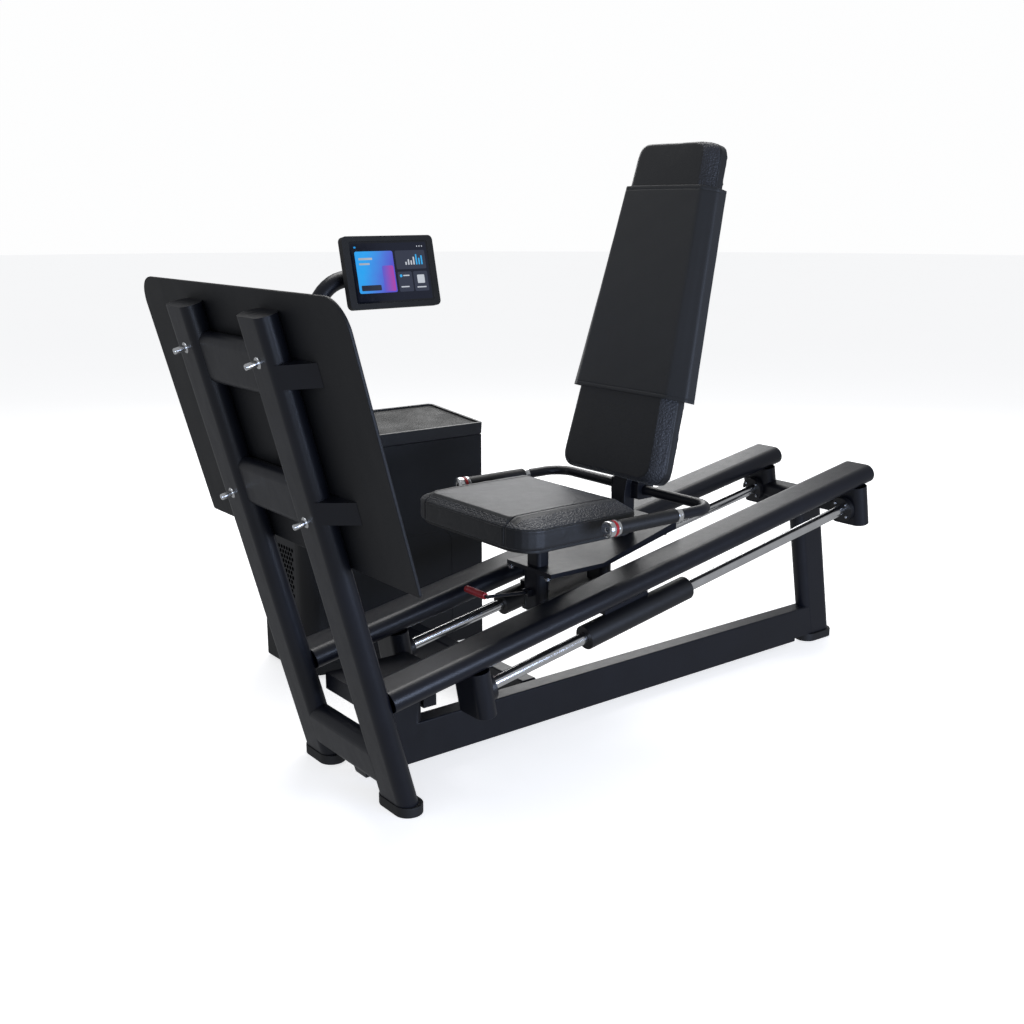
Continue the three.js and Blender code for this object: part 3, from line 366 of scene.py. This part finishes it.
def side_axes(direction):
    direction = Vector(direction).normalized()
    helper = Vector((0.0, 0.0, 1.0)) if abs(direction.z) < 0.9 else Vector((1.0, 0.0, 0.0))
    right = direction.cross(helper).normalized()
    return direction, right, direction.cross(right).normalized()


def add_turned(bm, at, direction, profile, count=32):
    """Adds a turned solid to bm: profile is (radius, distance along) in millimetres, from axis to axis.
    Points marked with a third value are six-sided, for sockets and nuts."""
    direction, right, up = side_axes(direction)
    rings = []
    for entry in profile:
        radius, along = entry[0] / 1000.0, entry[1] / 1000.0
        centre = Vector(at) + direction * along
        if radius < 1e-7:
            rings.append([bm.verts.new(centre)])
            continue
        ring = []
        for step in range(count):
            angle = 2 * math.pi * step / count
            reach = radius
            if len(entry) > 2:
                part = math.pi / 3
                reach = radius * math.cos(part / 2) / math.cos((angle % part) - part / 2)
            ring.append(bm.verts.new(centre + (right * math.cos(angle) + up * math.sin(angle)) * reach))
        rings.append(ring)
    for first, second in zip(rings, rings[1:]):
        for step in range(count):
            a, b = first[step % len(first)], first[(step + 1) % len(first)]
            c, d = second[(step + 1) % len(second)], second[step % len(second)]
            corners = list(dict.fromkeys([a, b, c, d]))
            if len(corners) >= 3:
                bm.faces.new(corners)


def turned(name, at, direction, profile, body, materials, count=32, **options):
    bm = bmesh.new()
    add_turned(bm, at, direction, profile, count)
    return finished(name, mesh_from(name, bm), body, materials, **options)


def socket_head(size, height):
    """Profile of a cap screw with a hexagon socket, sitting on z = 0."""
    hole = size * 0.46
    return [(0, -2), (size - 0.6, -2), (size - 0.6, 0), (size, 0.4), (size, height - 1), (size - 1, height),
            (hole + 0.5, height, 6), (hole, height - 0.5, 6), (hole, height * 0.45, 6), (0, height * 0.4)]


def washer(inner, outer, thick):
    return [(0, 0), (outer - 0.4, 0), (outer, 0.4), (outer, thick - 0.4), (outer - 0.4, thick),
            (inner, thick), (inner - 0.3, thick - 0.3), (0, thick - 0.3)]


def surface_of(node_name):
    bm = bmesh.new()
    bm.from_mesh(nodes[node_name].data)
    tree = BVHTree.FromBMesh(bm)
    bm.free()
    return tree


def hit(tree, point, direction):
    found = tree.ray_cast(Vector(point), Vector(direction).normalized())
    return found[0]


def screws(name, body, places, direction, size, height, material, washers=True, flange=1.9):
    bm = bmesh.new()
    for at in places:
        at = Vector(at)
        base = 0.0
        if washers:
            add_turned(bm, at, direction, washer(size * 0.6, size * flange, 2.0))
            base = 0.0017
        add_turned(bm, at + Vector(direction).normalized() * base, direction, socket_head(size, height))
    return finished(name, mesh_from(name, bm), body, [material])


# ---- bolts through the front posts --------------------------------------------------------------
for side, node_name in ((-180, "upright_right"), (180, "upright_left")):
    tree = surface_of(node_name)
    for level, word in ((1124, "upper"), (763, "middle")):
        found = hit(tree, front_place(-200, side, level), -BEHIND_PLATE)
        if found is None:
            continue
        name = f"post_bolt_{word}_{'left' if side > 0 else 'right'}"
        bm = bmesh.new()
        add_turned(bm, found, BEHIND_PLATE, [(0, -3), (13, -3), (13, 2), (12, 3), (9.2, 3), (9.2, 2.6),
                                             (0, 2.6)])
        add_turned(bm, found, BEHIND_PLATE, [(0, 0), (7.4, 0), (7.4, 28), (6.4, 30), (4.2, 30, 6),
                                             (3.9, 29.6, 6), (3.9, 24, 6), (0, 23)])
        finished(name, mesh_from(name, bm), "base", [CHROME])

# ---- screws in the shaft flanges ----------------------------------------------------------------
for end, facing in (("front", 1.0), ("rear", -1.0)):
    for side in ("left", "right"):
        node_name = f"shaft_flange_{end}_{side}"
        low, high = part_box(node_name)
        centre = (Vector(low) + Vector(high)) / 2
        tree = surface_of(node_name)
        axis, right, up = side_axes(ALONG_RAIL)
        spots = []
        for step in range(4):
            angle = math.pi / 4 + step * math.pi / 2
            radial = (right * math.cos(angle) + up * math.sin(angle)) * 0.0275
            found = hit(tree, centre + radial + ALONG_RAIL * facing * 0.1, -ALONG_RAIL * facing)
            if found is not None:
                spots.append(found)
        screws(f"flange_screws_{end}_{side}", "base", spots, ALONG_RAIL * facing, 4.2, 4.5, BOLT, False)

# ---- screws under the seat deck -----------------------------------------------------------------
tree = surface_of("carriage_frame")
spots = []
for x in (560, 790, 985):
    for y in (-78, 78):
        found = hit(tree, place(x, y, 300), (0, 0, 1))
        if found is not None:
            spots.append(found)
screws("deck_screws", "carriage", spots, (0, 0, -1), 7.5, 7.0, BOLT, True, 1.6)

# ---- screws that hold the strut to the floor beam -----------------------------------------------
tree = surface_of("outrigger_beam")
spots = []
for x in (507, 640):
    for z in (42, 94):
        found = hit(tree, place(x, 120, z), (0, -1, 0))
        if found is not None:
            spots.append(found)
if spots:
    screws("strut_screws", "base", spots, (0, 1, 0), 6.5, 6.5, BLACK_BOLT, True, 1.7)

HANDLE_SIDE = 315
HANDLE_LEVEL = 629

# ---- handlebar details --------------------------------------------------------------------------
COLLAR = [(13, 0), (16.4, 0), (17.2, 0.8), (17.2, 5), (16.6, 5.8), (16.6, 9.2), (17.2, 10), (17.2, 15.2),
          (16.4, 16), (13, 16), (13, 0)]
CAP = [(0, 9), (4.6, 9.4), (5.2, 9), (5.2, 1.2), (6, 0.5), (17.5, 0), (20.1, 1.3), (21, 3.4), (21, 15),
       (20.2, 16), (18.6, 16.6), (18.6, 18.2)]
CAP_TAIL = [(18.6, 24.2), (18.6, 25.4), (20.2, 26), (21, 27), (21, 33.6), (19.8, 35.4), (16, 35.7),
            (0, 35.7)]
RING = [(18.0, 18.0), (20.2, 18.2), (20.7, 18.8), (20.7, 23.6), (20.2, 24.2), (18.0, 24.4), (18.0, 18.0)]
for side, word in ((-HANDLE_SIDE, "right"), (HANDLE_SIDE, "left")):
    at = place(785.2, side, HANDLE_LEVEL)
    turned(f"grip_collar_{word}", at, (1, 0, 0), COLLAR, "carriage", [CHROME], slot="shaft_chrome")
    start = place(550, side, HANDLE_LEVEL)
    turned(f"handle_end_{word}", start, (1, 0, 0), CAP + CAP_TAIL, "carriage", [CHROME], 48,
           slot="shaft_chrome", replaced=(f"handle_cap_{word}",))
    turned(f"handle_ring_{word}", start, (1, 0, 0), RING, "carriage", [RED], 48, slot="lever_red")
    socket = [(0, 6.4), (4.9, 6.6), (5.1, 9.6), (0, 9.8)]
    turned(f"handle_plug_{word}", start, (1, 0, 0), socket, "carriage", [BLACK_BOLT], 30)

# grips: slightly swelling rubber with fine rings cut round them
for side, word in ((-HANDLE_SIDE, "right"), (HANDLE_SIDE, "left")):
    profile = [(13.9, 0), (17.4, 0), (18.4, 1)]
    length = 198.6
    grooves = 66
    for step in range(1, grooves):
        along = 1.5 + step * (length - 4) / grooves
        profile += [(18.45, along - 0.9), (18.45, along + 0.5), (18.1, along + 0.95)]
    profile += [(18.4, length - 1), (17.4, length), (13.9, length), (13.9, 0)]
    start = place(586.1, side, HANDLE_LEVEL)
    turned(f"handle_grip_{word}", start, (1, 0, 0), profile, "carriage", [GRIP], 36, sharp=50,
           slot="grip_rubber", replaced=(f"grip_{word}",))

# ---- release lever grip -------------------------------------------------------------------------
low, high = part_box("lever_grip")
lever_mid = (Vector(low) + Vector(high)) / 2
lever_length = (high[1] - low[1]) * 1000
lever_radius = (high[2] - low[2]) * 500
profile = [(0, 0), (lever_radius - 3.4, 0), (lever_radius - 1.2, 0.9), (lever_radius - 0.3, 2.8)]
rib = 4.6
for step in range(int((lever_length - 12) / rib)):
    along = 5 + step * rib
    profile += [(lever_radius, along), (lever_radius, along + 2.7), (lever_radius - 0.8, along + 3.3),
                (lever_radius - 0.8, along + 4.0)]
profile += [(lever_radius - 0.3, lever_length - 4), (lever_radius, lever_length - 3),
            (lever_radius - 0.8, lever_length - 0.6), (lever_radius - 2, lever_length), (0, lever_length)]
turned("lever_handle", (lever_mid.x, low[1], lever_mid.z), (0, 1, 0), profile, "release_lever", [RED], 28,
       slot="lever_red", replaced=("lever_grip",))

# ---- vent with hexagonal holes ------------------------------------------------------------------
def cut_vent():
    source = nodes["vent_grille"]
    low, high = (Vector(corner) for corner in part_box("vent_grille"))
    plate = bpy.data.meshes.new("vent_plate")
    bm = bmesh.new()
    bm.from_mesh(source.data)
    bmesh.ops.remove_doubles(bm, verts=bm.verts, dist=0.00001)
    bm.to_mesh(plate)
    bm.free()
    holes = bmesh.new()
    pitch, radius = 0.0165, 0.0072
    rows = int((high.z - low.z - 0.03) / (pitch * 0.866))
    columns = int((high.y - low.y - 0.03) / pitch)
    for row in range(rows):
        for column in range(columns):
            y = low.y + 0.02 + (column + 0.5 * (row % 2)) * pitch
            z = low.z + 0.02 + row * pitch * 0.866
            if y > high.y - 0.014 or z > high.z - 0.014:
                continue
            rings = []
            for x in (low.x - 0.01, high.x + 0.01):
                ring = []
                for step in range(6):
                    angle = math.pi / 6 + step * math.pi / 3
                    corner = (x, y + radius * math.cos(angle), z + radius * math.sin(angle))
                    ring.append(holes.verts.new(corner))
                rings.append(ring)
            for step in range(6):
                holes.faces.new((rings[0][step], rings[0][(step + 1) % 6], rings[1][(step + 1) % 6],
                                 rings[1][step]))
            holes.faces.new(rings[0])
            holes.faces.new(rings[1])
    cutter = bpy.data.objects.new("vent_cutter", mesh_from("vent_cutter", holes))
    scene.collection.objects.link(cutter)
    obj = finished("vent_panel", plate, "base", [VENT], slot="vent_paint", replaced=("vent_grille",))
    boolean = obj.modifiers.new("holes", "BOOLEAN")
    boolean.operation = "DIFFERENCE"
    boolean.solver = "EXACT"
    boolean.object = cutter
    bpy.context.view_layer.update()
    result = bpy.data.meshes.new_from_object(obj.evaluated_get(bpy.context.evaluated_depsgraph_get()))
    obj.modifiers.clear()
    obj.data = result
    bpy.data.objects.remove(cutter)
    result.set_sharp_from_angle(angle=math.radians(30))


cut_vent()

# ---- twisted press cable, which stretches between the frame and the carriage --------------------
def add_cable():
    low, high = (Vector(corner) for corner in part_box("press_cable"))
    start = Vector((low.x, (low.y + high.y) / 2, low.z))
    end = Vector((high.x, (low.y + high.y) / 2, high.z))
    up = ALONG_RAIL.cross(Vector((0, -1, 0))).normalized()
    if up.z < 0:
        up = -up
    radius = 0.0025
    start = start + up * radius
    end = start + ALONG_RAIL * (end - start).dot(ALONG_RAIL)
    right = Vector((0, 1, 0))
    bm = bmesh.new()
    spacing, lay, sides = 0.003, 0.034, 24
    count = int((end - start).length / spacing)
    rings = []
    for ring in range(count + 1):
        centre = start.lerp(end, ring / count)
        turn = ring * spacing / lay * 2 * math.pi
        row = []
        for step in range(sides):
            angle = 2 * math.pi * step / sides
            reach = radius * (0.84 + 0.16 * abs(math.cos(3 * (angle - turn))))
            row.append(bm.verts.new(centre + (right * math.cos(angle) + up * math.sin(angle)) * reach))
        rings.append(row)
    for first, second in zip(rings, rings[1:]):
        for step in range(sides):
            after = (step + 1) % sides
            bm.faces.new((first[step], first[after], second[after], second[step]))
    bm.faces.new(rings[0])
    bm.faces.new(rings[-1])
    obj = finished("press_rope", mesh_from("press_rope", bm), None, [CABLE], sharp=60, slot="cable_steel",
                   replaced=("press_cable",))
    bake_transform(obj)


add_cable()


# ---- display picture: plain lit cards, without words or figures ---------------------------------
def add_display_picture():
    mesh = nodes["display_screen"].data
    face = max(mesh.polygons, key=lambda polygon: polygon.area)
    normal = face.normal.copy()
    if normal.y > 0:
        normal = -normal
    up = (Vector((0, 0, 1)) - normal * normal.z).normalized()
    right = up.cross(normal).normalized()
    points = [vertex.co for vertex in mesh.vertices]
    depth = max(point.dot(normal) for point in points)
    wide = [point.dot(right) for point in points]
    tall = [point.dot(up) for point in points]
    width, height = max(wide) - min(wide), max(tall) - min(tall)
    centre = right * (max(wide) + min(wide)) / 2 + up * (max(tall) + min(tall)) / 2 + normal * depth

    def card(name, u0, v0, u1, v1, radius, lift, material):
        bm = bmesh.new()
        x0, x1 = (u0 - 0.5) * width, (u1 - 0.5) * width
        y0, y1 = (v0 - 0.5) * height, (v1 - 0.5) * height
        front, back = [], []
        for cx, cy, first in ((x1 - radius, y1 - radius, 0), (x0 + radius, y1 - radius, 1),
                              (x0 + radius, y0 + radius, 2), (x1 - radius, y0 + radius, 3)):
            for step in range(7):
                angle = (first + step / 6) * math.pi / 2
                flat = right * (cx + radius * math.cos(angle)) + up * (cy + radius * math.sin(angle))
                front.append(bm.verts.new(centre + flat + normal * (lift + 0.0002)))
                back.append(bm.verts.new(centre + flat + normal * (lift - 0.0004)))
        bm.faces.new(front)
        bm.faces.new(list(reversed(back)))
        for step in range(len(front)):
            after = (step + 1) % len(front)
            bm.faces.new((front[step], back[step], back[after], front[after]))
        return finished(name, mesh_from(name, bm), "display", [material], slot="screen_glass")

    middle = centre.dot(right)
    across = (middle - width * 0.46, middle + width * 0.04)
    diagonal = (right * 0.94 - up * 0.34).normalized()
    mid_diagonal = (centre - right * width * 0.2).dot(diagonal)
    cyan_blue = lit("picture_blue", (0.02, 0.42, 0.95), (0.10, 0.09, 0.62),
                    (mid_diagonal - width * 0.16, mid_diagonal + width * 0.22), diagonal, 0.95)
    violet = lit("picture_violet", (0.09, 0.14, 0.75), (0.55, 0.06, 0.42),
                 (middle - width * 0.12, middle + width * 0.06), right, 0.8)
    night = lit("picture_night", (0.004, 0.006, 0.016), (0.012, 0.016, 0.036), across, right, 0.6)
    slate = lit("picture_slate", (0.018, 0.022, 0.04), (0.035, 0.042, 0.07), across, right, 0.9)
    pale = lit("picture_pale", (0.45, 0.5, 0.58), (0.75, 0.8, 0.88), across, right, 0.7)
    sky = lit("picture_sky", (0.02, 0.35, 0.9), (0.05, 0.5, 1.0), across, right, 0.8)
    card("screen_ground", 0.02, 0.03, 0.98, 0.97, 0.004, 0.0, night)
    card("screen_main", 0.05, 0.16, 0.53, 0.84, 0.006, 0.0004, cyan_blue)
    card("screen_main_glow", 0.37, 0.18, 0.515, 0.6, 0.006, 0.0006, violet)
    card("screen_main_strip", 0.08, 0.2, 0.33, 0.29, 0.003, 0.0008, slate)
    card("screen_main_line_a", 0.09, 0.7, 0.26, 0.735, 0.001, 0.0008, pale)
    card("screen_main_line_b", 0.09, 0.62, 0.22, 0.65, 0.001, 0.0008, pale)
    card("screen_card_top", 0.56, 0.53, 0.95, 0.84, 0.005, 0.0004, slate)
    card("screen_card_left", 0.56, 0.16, 0.745, 0.49, 0.005, 0.0004, slate)
    card("screen_card_right", 0.765, 0.16, 0.95, 0.49, 0.005, 0.0004, slate)
    for step, tall_part in enumerate((0.05, 0.09, 0.07, 0.13, 0.17, 0.11, 0.15)):
        u = 0.68 + step * 0.035
        shade = sky if step > 3 else pale
        card(f"screen_bar_{step + 1}", u, 0.6, u + 0.018, 0.6 + tall_part, 0.0012, 0.0008, shade)
    card("screen_dot_a", 0.585, 0.4, 0.615, 0.445, 0.003, 0.0008, sky)
    card("screen_dot_b", 0.63, 0.415, 0.71, 0.435, 0.001, 0.0008, pale)
    card("screen_dot_c", 0.585, 0.23, 0.69, 0.25, 0.001, 0.0008, pale)
    card("screen_tile", 0.81, 0.29, 0.905, 0.43, 0.003, 0.0008, pale)
    card("screen_tile_line", 0.795, 0.215, 0.915, 0.235, 0.001, 0.0008, pale)
    for step in range(3):
        u = 0.855 + step * 0.032
        card(f"screen_status_{step + 1}", u, 0.895, u + 0.012, 0.915, 0.001, 0.0006, pale)
    card("screen_status_left", 0.05, 0.892, 0.075, 0.92, 0.0015, 0.0006, sky)


add_display_picture()


# ---- padded pieces ------------------------------------------------------------------------------
def evaluated_mesh(obj):
    bpy.context.view_layer.update()
    return bpy.data.meshes.new_from_object(obj.evaluated_get(bpy.context.evaluated_depsgraph_get()))


def coordinates(mesh):
    values = np.zeros(len(mesh.vertices) * 3)
    mesh.vertices.foreach_get("co", values)
    return values.reshape(-1, 3)


def set_coordinates(mesh, values):
    mesh.vertices.foreach_set("co", values.reshape(-1))
    mesh.update()


def normals_of(mesh):
    values = np.zeros(len(mesh.vertices) * 3)
    mesh.vertex_normals.foreach_get("vector", values)
    return values.reshape(-1, 3)


CLOTH_FRAMES = 20
CLOTH_PRESSURE = 4.0


def stuffed(name, node_name, inset, voxel, cap, free):
    """A pad grown from its CAD solid: remeshed onto it, set in, blown up as cloth, subdivided once.
    free gives each point's share of the swelling, from its coordinates."""
    mesh = bpy.data.meshes.new(name)
    bm = bmesh.new()
    bm.from_mesh(nodes[node_name].data)
    bmesh.ops.remove_doubles(bm, verts=bm.verts, dist=0.00001)
    shell = BVHTree.FromBMesh(bm)
    bm.to_mesh(mesh)
    bm.free()
    obj = bpy.data.objects.new(name, mesh)
    scene.collection.objects.link(obj)
    remesh = obj.modifiers.new("remesh", "REMESH")
    remesh.mode = "VOXEL"
    remesh.voxel_size = voxel
    solid = evaluated_mesh(obj)
    obj.modifiers.clear()
    obj.data = solid
    on_shell = np.array([shell.find_nearest(vertex.co)[0] for vertex in solid.vertices])
    rest = on_shell - normals_of(solid) * inset
    set_coordinates(solid, rest)
    cloth = obj.modifiers.new("cloth", "CLOTH")
    cloth.settings.use_pressure = True
    cloth.settings.uniform_pressure_force = CLOTH_PRESSURE
    cloth.settings.effector_weights.gravity = 0.0
    cloth.settings.quality = 4
    cloth.collision_settings.use_collision = False
    cloth.collision_settings.use_self_collision = False
    cloth.point_cache.frame_start = 1
    cloth.point_cache.frame_end = CLOTH_FRAMES
    for moment in range(1, CLOTH_FRAMES + 1):
        scene.frame_set(moment)
    move = coordinates(evaluated_mesh(obj)) - rest
    obj.modifiers.clear()
    scene.frame_set(1)
    length = np.linalg.norm(move, axis=1)
    move *= (cap / max(np.percentile(length, 97), cap))
    length = np.linalg.norm(move, axis=1)
    move *= np.minimum(1.0, cap / np.maximum(length, 1e-9))[:, None]
    set_coordinates(obj.data, rest + move * free(rest)[:, None])
    subdivision = obj.modifiers.new("subdivision", "SUBSURF")
    subdivision.levels = 1
    subdivision.render_levels = 1
    fine = evaluated_mesh(obj)
    obj.modifiers.clear()
    obj.data = fine
    return obj


def sew(obj, point, normal, keep, half=0.0024, depth=0.0019, puff=0.0007):
    """Sinks a sewn line where a plane crosses the pad, with the vinyl standing a little proud beside it."""
    normal = Vector(normal).normalized()
    bm = bmesh.new()
    bm.from_mesh(obj.data)
    for offset in (-half, -half / 2, 0.0, half / 2, half):
        bmesh.ops.bisect_plane(bm, geom=bm.verts[:] + bm.edges[:] + bm.faces[:], dist=0.00005,
                               plane_co=Vector(point) + normal * offset, plane_no=normal)
    bm.to_mesh(obj.data)
    bm.free()
    places = coordinates(obj.data)
    across = np.abs((places - np.array(point)) @ np.array(normal))
    sunk = np.clip(1.0 - (across / half) ** 2, 0.0, 1.0) * depth
    raised = np.exp(-((across - 3.2 * half) / (1.6 * half)) ** 2) * puff
    share = keep(places)
    outward = normals_of(obj.data)
    set_coordinates(obj.data, places + outward * ((raised - sunk) * share)[:, None])


def paint_faces(obj, rule):
    """Chooses each face's material from its centre and normal."""
    mesh = obj.data
    count = len(mesh.polygons)
    centres = np.zeros(count * 3)
    facing = np.zeros(count * 3)
    mesh.polygons.foreach_get("center", centres)
    mesh.polygons.foreach_get("normal", facing)
    index = rule(centres.reshape(-1, 3), facing.reshape(-1, 3)).astype(np.int32)
    mesh.polygons.foreach_set("material_index", index)
    mesh.update()


def dress(obj, node_name, materials):
    obj.data.materials.clear()
    for material in materials:
        obj.data.materials.append(material)
    obj.data.shade_smooth()
    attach(obj, "carriage")
    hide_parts(node_name)


seat_low, seat_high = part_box("seat_cushion")
SEAT_MIDDLE = place(531, 0, 661)


def seat_free(points):
    above = np.clip((points[:, 2] - seat_low[2] - 0.004) / 0.02, 0.0, 1.0)
    return 0.1 + 0.9 * above


seat = stuffed("seat_pad", "seat_cushion", 0.0008, 0.0042, 0.0042, seat_free)


SEAT_SEAM = 0.172


def whole(points):
    return np.ones(len(points))


def above_base(points):
    return np.clip((points[:, 2] - seat_low[2] - 0.006) / 0.006, 0.0, 1.0)


for side in (-172, 172):
    sew(seat, place(531, side, 640), (0, 1, 0), above_base)
sew(seat, place(531, 0, 637.5), (0, 0, 1), whole, 0.0016, 0.0011, 0.0004)


def seat_rule(centres, facing):
    side = np.abs(centres[:, 1] - SEAT_MIDDLE.y)
    edge_front = place(361, 0, 0).x
    edge_rear = place(702, 0, 0).x
    band = (side > 0.196) | (centres[:, 0] < edge_front) | (centres[:, 0] > edge_rear)
    band &= centres[:, 2] > place(0, 0, 638.5).z
    band &= facing[:, 2] > 0.2
    groove = np.abs(side - SEAT_SEAM) < 0.0012
    return np.where(groove & (centres[:, 2] > seat_low[2] + 0.008), 2, np.where(band, 1, 0))


# Faces picked as band take the lightened vinyl: painted light on the seat's bevel, over its real pebble
# grain.
dress(seat, "seat_cushion", [VINYL, BAND_PAINTED_LIGHT, SEAM])
paint_faces(seat, seat_rule)

PAD_FOOT = np.array(back_place(0, 0, 0))
PAD_BEHIND = np.array(BEHIND_PAD)


def depth_in_pad(points):
    return (points - PAD_FOOT) @ PAD_BEHIND


def back_free(points):
    return 0.08 + 0.92 * np.clip((0.056 - depth_in_pad(points)) / 0.015, 0.0, 1.0)


back = stuffed("back_pad", "back_cushion", 0.001, 0.0055, 0.0032, back_free)


sew(back, back_place(31, 0, 0), BEHIND_PAD, whole, 0.0018, 0.0012, 0.0005)


def back_rule(centres, facing):
    front = -(facing @ PAD_BEHIND)
    depth = depth_in_pad(centres)
    return np.where((depth < 0.031) & (front < 0.93) & (front > 0.12), 1, 0)


# Faces picked as band take the lightened vinyl: painted light on the backrest's bevel, over its real pebble
# grain.
dress(back, "back_cushion", [VINYL, BAND_PAINTED_LIGHT])
paint_faces(back, back_rule)


def rounded_line(points, cuts, count=6):
    """Points of a line through the corners, each corner but the ends cut back and rounded."""
    line = [points[0]]
    for before, corner, after, cut in zip(points, points[1:], points[2:], cuts):
        start = corner + (before - corner).normalized() * cut
        end = corner + (after - corner).normalized() * cut
        for step in range(count + 1):
            t = step / count
            line.append(start * (1 - t) ** 2 + corner * 2 * t * (1 - t) + end * t * t)
    line.append(points[-1])
    return line


def resampled(line, counts):
    """Adds evenly spaced points on the straight runs whose number is in counts."""
    result = []
    for index, (first, second) in enumerate(zip(line, line[1:])):
        steps = counts.get(index, 1)
        result += [first.lerp(second, step / steps) for step in range(steps)]
    return result + [line[-1]]


def sleeve_section(level, share, inset):
    """One cross-section of the sleeve, as (depth, across), from one rear edge round the front to the next."""
    front = 178 + (142 - 178) * share - inset * 0.8
    outer = 225 + (176 - 225) * share - inset
    face = -4.6 + inset
    corners = [Vector((60, -outer)), Vector((28, -outer)), Vector((face, -front)), Vector((face, front)),
               Vector((28, outer)), Vector((60, outer))]
    line = rounded_line(corners, (7, 7, 7, 7))
    line = resampled(line, {0: 5, 7: 6, 14: 26, 21: 6, 28: 5})
    wrinkles = np.random.default_rng(11).uniform(0, 6.28, 8)
    points = []
    for depth, across in line:
        crown = 2.4 * max(0.0, 1 - (across / front) ** 2) if depth < 3 else 0.0
        ripple = 0.22 * math.sin(level / 31 + wrinkles[0]) * math.sin(across / 47 + wrinkles[1])
        ripple += 0.16 * math.sin(level / 13 + wrinkles[2]) * math.sin(across / 23 + wrinkles[3])
        hollow = 0.9 * math.sin(math.pi * share) if depth > 12 else 0.0
        points.append((depth - crown - ripple, across - math.copysign(hollow, across)))
    return points


def add_sleeve():
    length, bottom = 565.0, 232.0
    stations = [0, 0.6, 1.6, 3, 6, 9, 9.8, 10.6, 11.4, 14]
    stations += [14 + (length - 28) * step / 74 for step in range(1, 74)]
    stations += [length - value for value in reversed(stations[:10])]
    bm = bmesh.new()
    outside, inside = [], []
    for station in stations:
        to_end = min(station, length - station)
        trim = 1.0 - min(1.0, to_end / 1.6)
        groove = 0.8 * math.exp(-((to_end - 10.2) / 0.8) ** 2)
        level, share = bottom + station, station / length
        outer = sleeve_section(level, share, 0.9 * trim ** 2 + groove)
        inner = sleeve_section(level, share, 2.6 - 0.6 * trim ** 2)
        outside.append([bm.verts.new(back_place(d, y, level)) for d, y in outer])
        inside.append([bm.verts.new(back_place(d, y, level)) for d, y in inner])
    for rows in (outside, inside):
        for first, second in zip(rows, rows[1:]):
            for step in range(len(first) - 1):
                bm.faces.new((first[step], first[step + 1], second[step + 1], second[step]))
    for index in (0, -1):
        first, second = outside[index], inside[index]
        for step in range(len(first) - 1):
            bm.faces.new((first[step], first[step + 1], second[step + 1], second[step]))
    for step in range(len(stations) - 1):
        for edge in (0, -1):
            bm.faces.new((outside[step][edge], outside[step + 1][edge], inside[step + 1][edge],
                          inside[step][edge]))
    return finished("back_sleeve", mesh_from("back_sleeve", bm), "carriage", [COVER], sharp=50,
                    slot="vinyl", replaced=("back_cover",))


add_sleeve()

# ---- studio -------------------------------------------------------------------------------------
def add_floor():
    bm = bmesh.new()
    bmesh.ops.create_grid(bm, x_segments=2, y_segments=2, size=55.0)
    mesh = bpy.data.meshes.new("floor")
    bm.to_mesh(mesh)
    bm.free()
    floor = bpy.data.objects.new("floor", mesh)
    floor.location.z = -0.0005
    scene.collection.objects.link(floor)
    mesh.materials.append(coated("floor_paint", (0.84, 0.84, 0.85), 0.8, 40.0, 0.0001, clouds=0.6,
                                 change=0.01, **{"Emission Color": (1.0, 1.0, 1.0, 1.0),
                                                 "Emission Strength": 0.68,
                                                 "Specular IOR Level": 0.2}))
    floor.visible_diffuse = False
    floor.visible_glossy = False


def add_backdrop():
    """A pale dome round the studio, seen by the camera only."""
    bm = bmesh.new()
    bmesh.ops.create_icosphere(bm, subdivisions=4, radius=38.0)
    dome = bpy.data.objects.new("backdrop", mesh_from("backdrop", bm))
    scene.collection.objects.link(dome)
    dome.data.materials.append(coated("backdrop_paint", (0.2, 0.2, 0.2), 1.0, 1.0, 0.0001, clouds=0.05,
                                      change=0.01, **{"Emission Color": (1.0, 1.0, 1.0, 1.0),
                                                      "Emission Strength": 0.93,
                                                      "Specular IOR Level": 0.0}))
    dome.visible_diffuse = False
    dome.visible_glossy = False
    dome.visible_transmission = False
    dome.visible_shadow = False


def add_light(name, place_at, aim, size, power, colour):
    data = bpy.data.lights.new(name, "AREA")
    data.shape = "RECTANGLE"
    data.size, data.size_y = size
    data.energy = power
    data.color = colour
    light = bpy.data.objects.new(name, data)
    light.location = place_at
    light.rotation_euler = (Vector(place_at) - Vector(aim)).to_track_quat("Z", "Y").to_euler()
    scene.collection.objects.link(light)


add_floor()
add_backdrop()
add_light("overhead", (1.2, 1.6, 4.0), (0.0, 0.0, 0.4), (3.2, 2.2), 95.0, (1.0, 0.99, 0.97))
add_light("left_window", (-4.2, 0.6, 2.2), (0.0, 0.0, 0.6), (1.6, 2.4), 14.0, (0.9, 0.94, 1.0))
add_light("right_window", (0.3, -4.4, 0.9), (0.0, 0.0, 0.7), (2.6, 1.7), 105.0, (0.6, 0.72, 1.0))
add_light("front_window", (-2.9, -3.9, 0.8), (0.0, 0.0, 0.7), (1.5, 1.5), 34.0, (0.62, 0.74, 1.0))
add_light("back_window", (3.0, 3.6, 2.4), (0.0, 0.0, 0.8), (2.4, 2.0), 38.0, (1.0, 1.0, 1.0))
world = bpy.data.worlds.new("studio")
world.use_nodes = True
world.node_tree.nodes["Background"].inputs["Color"].default_value = (0.95, 0.97, 1.0, 1.0)
world.node_tree.nodes["Background"].inputs["Strength"].default_value = 0.3
scene.world = world
scene.view_settings.view_transform = "Standard"
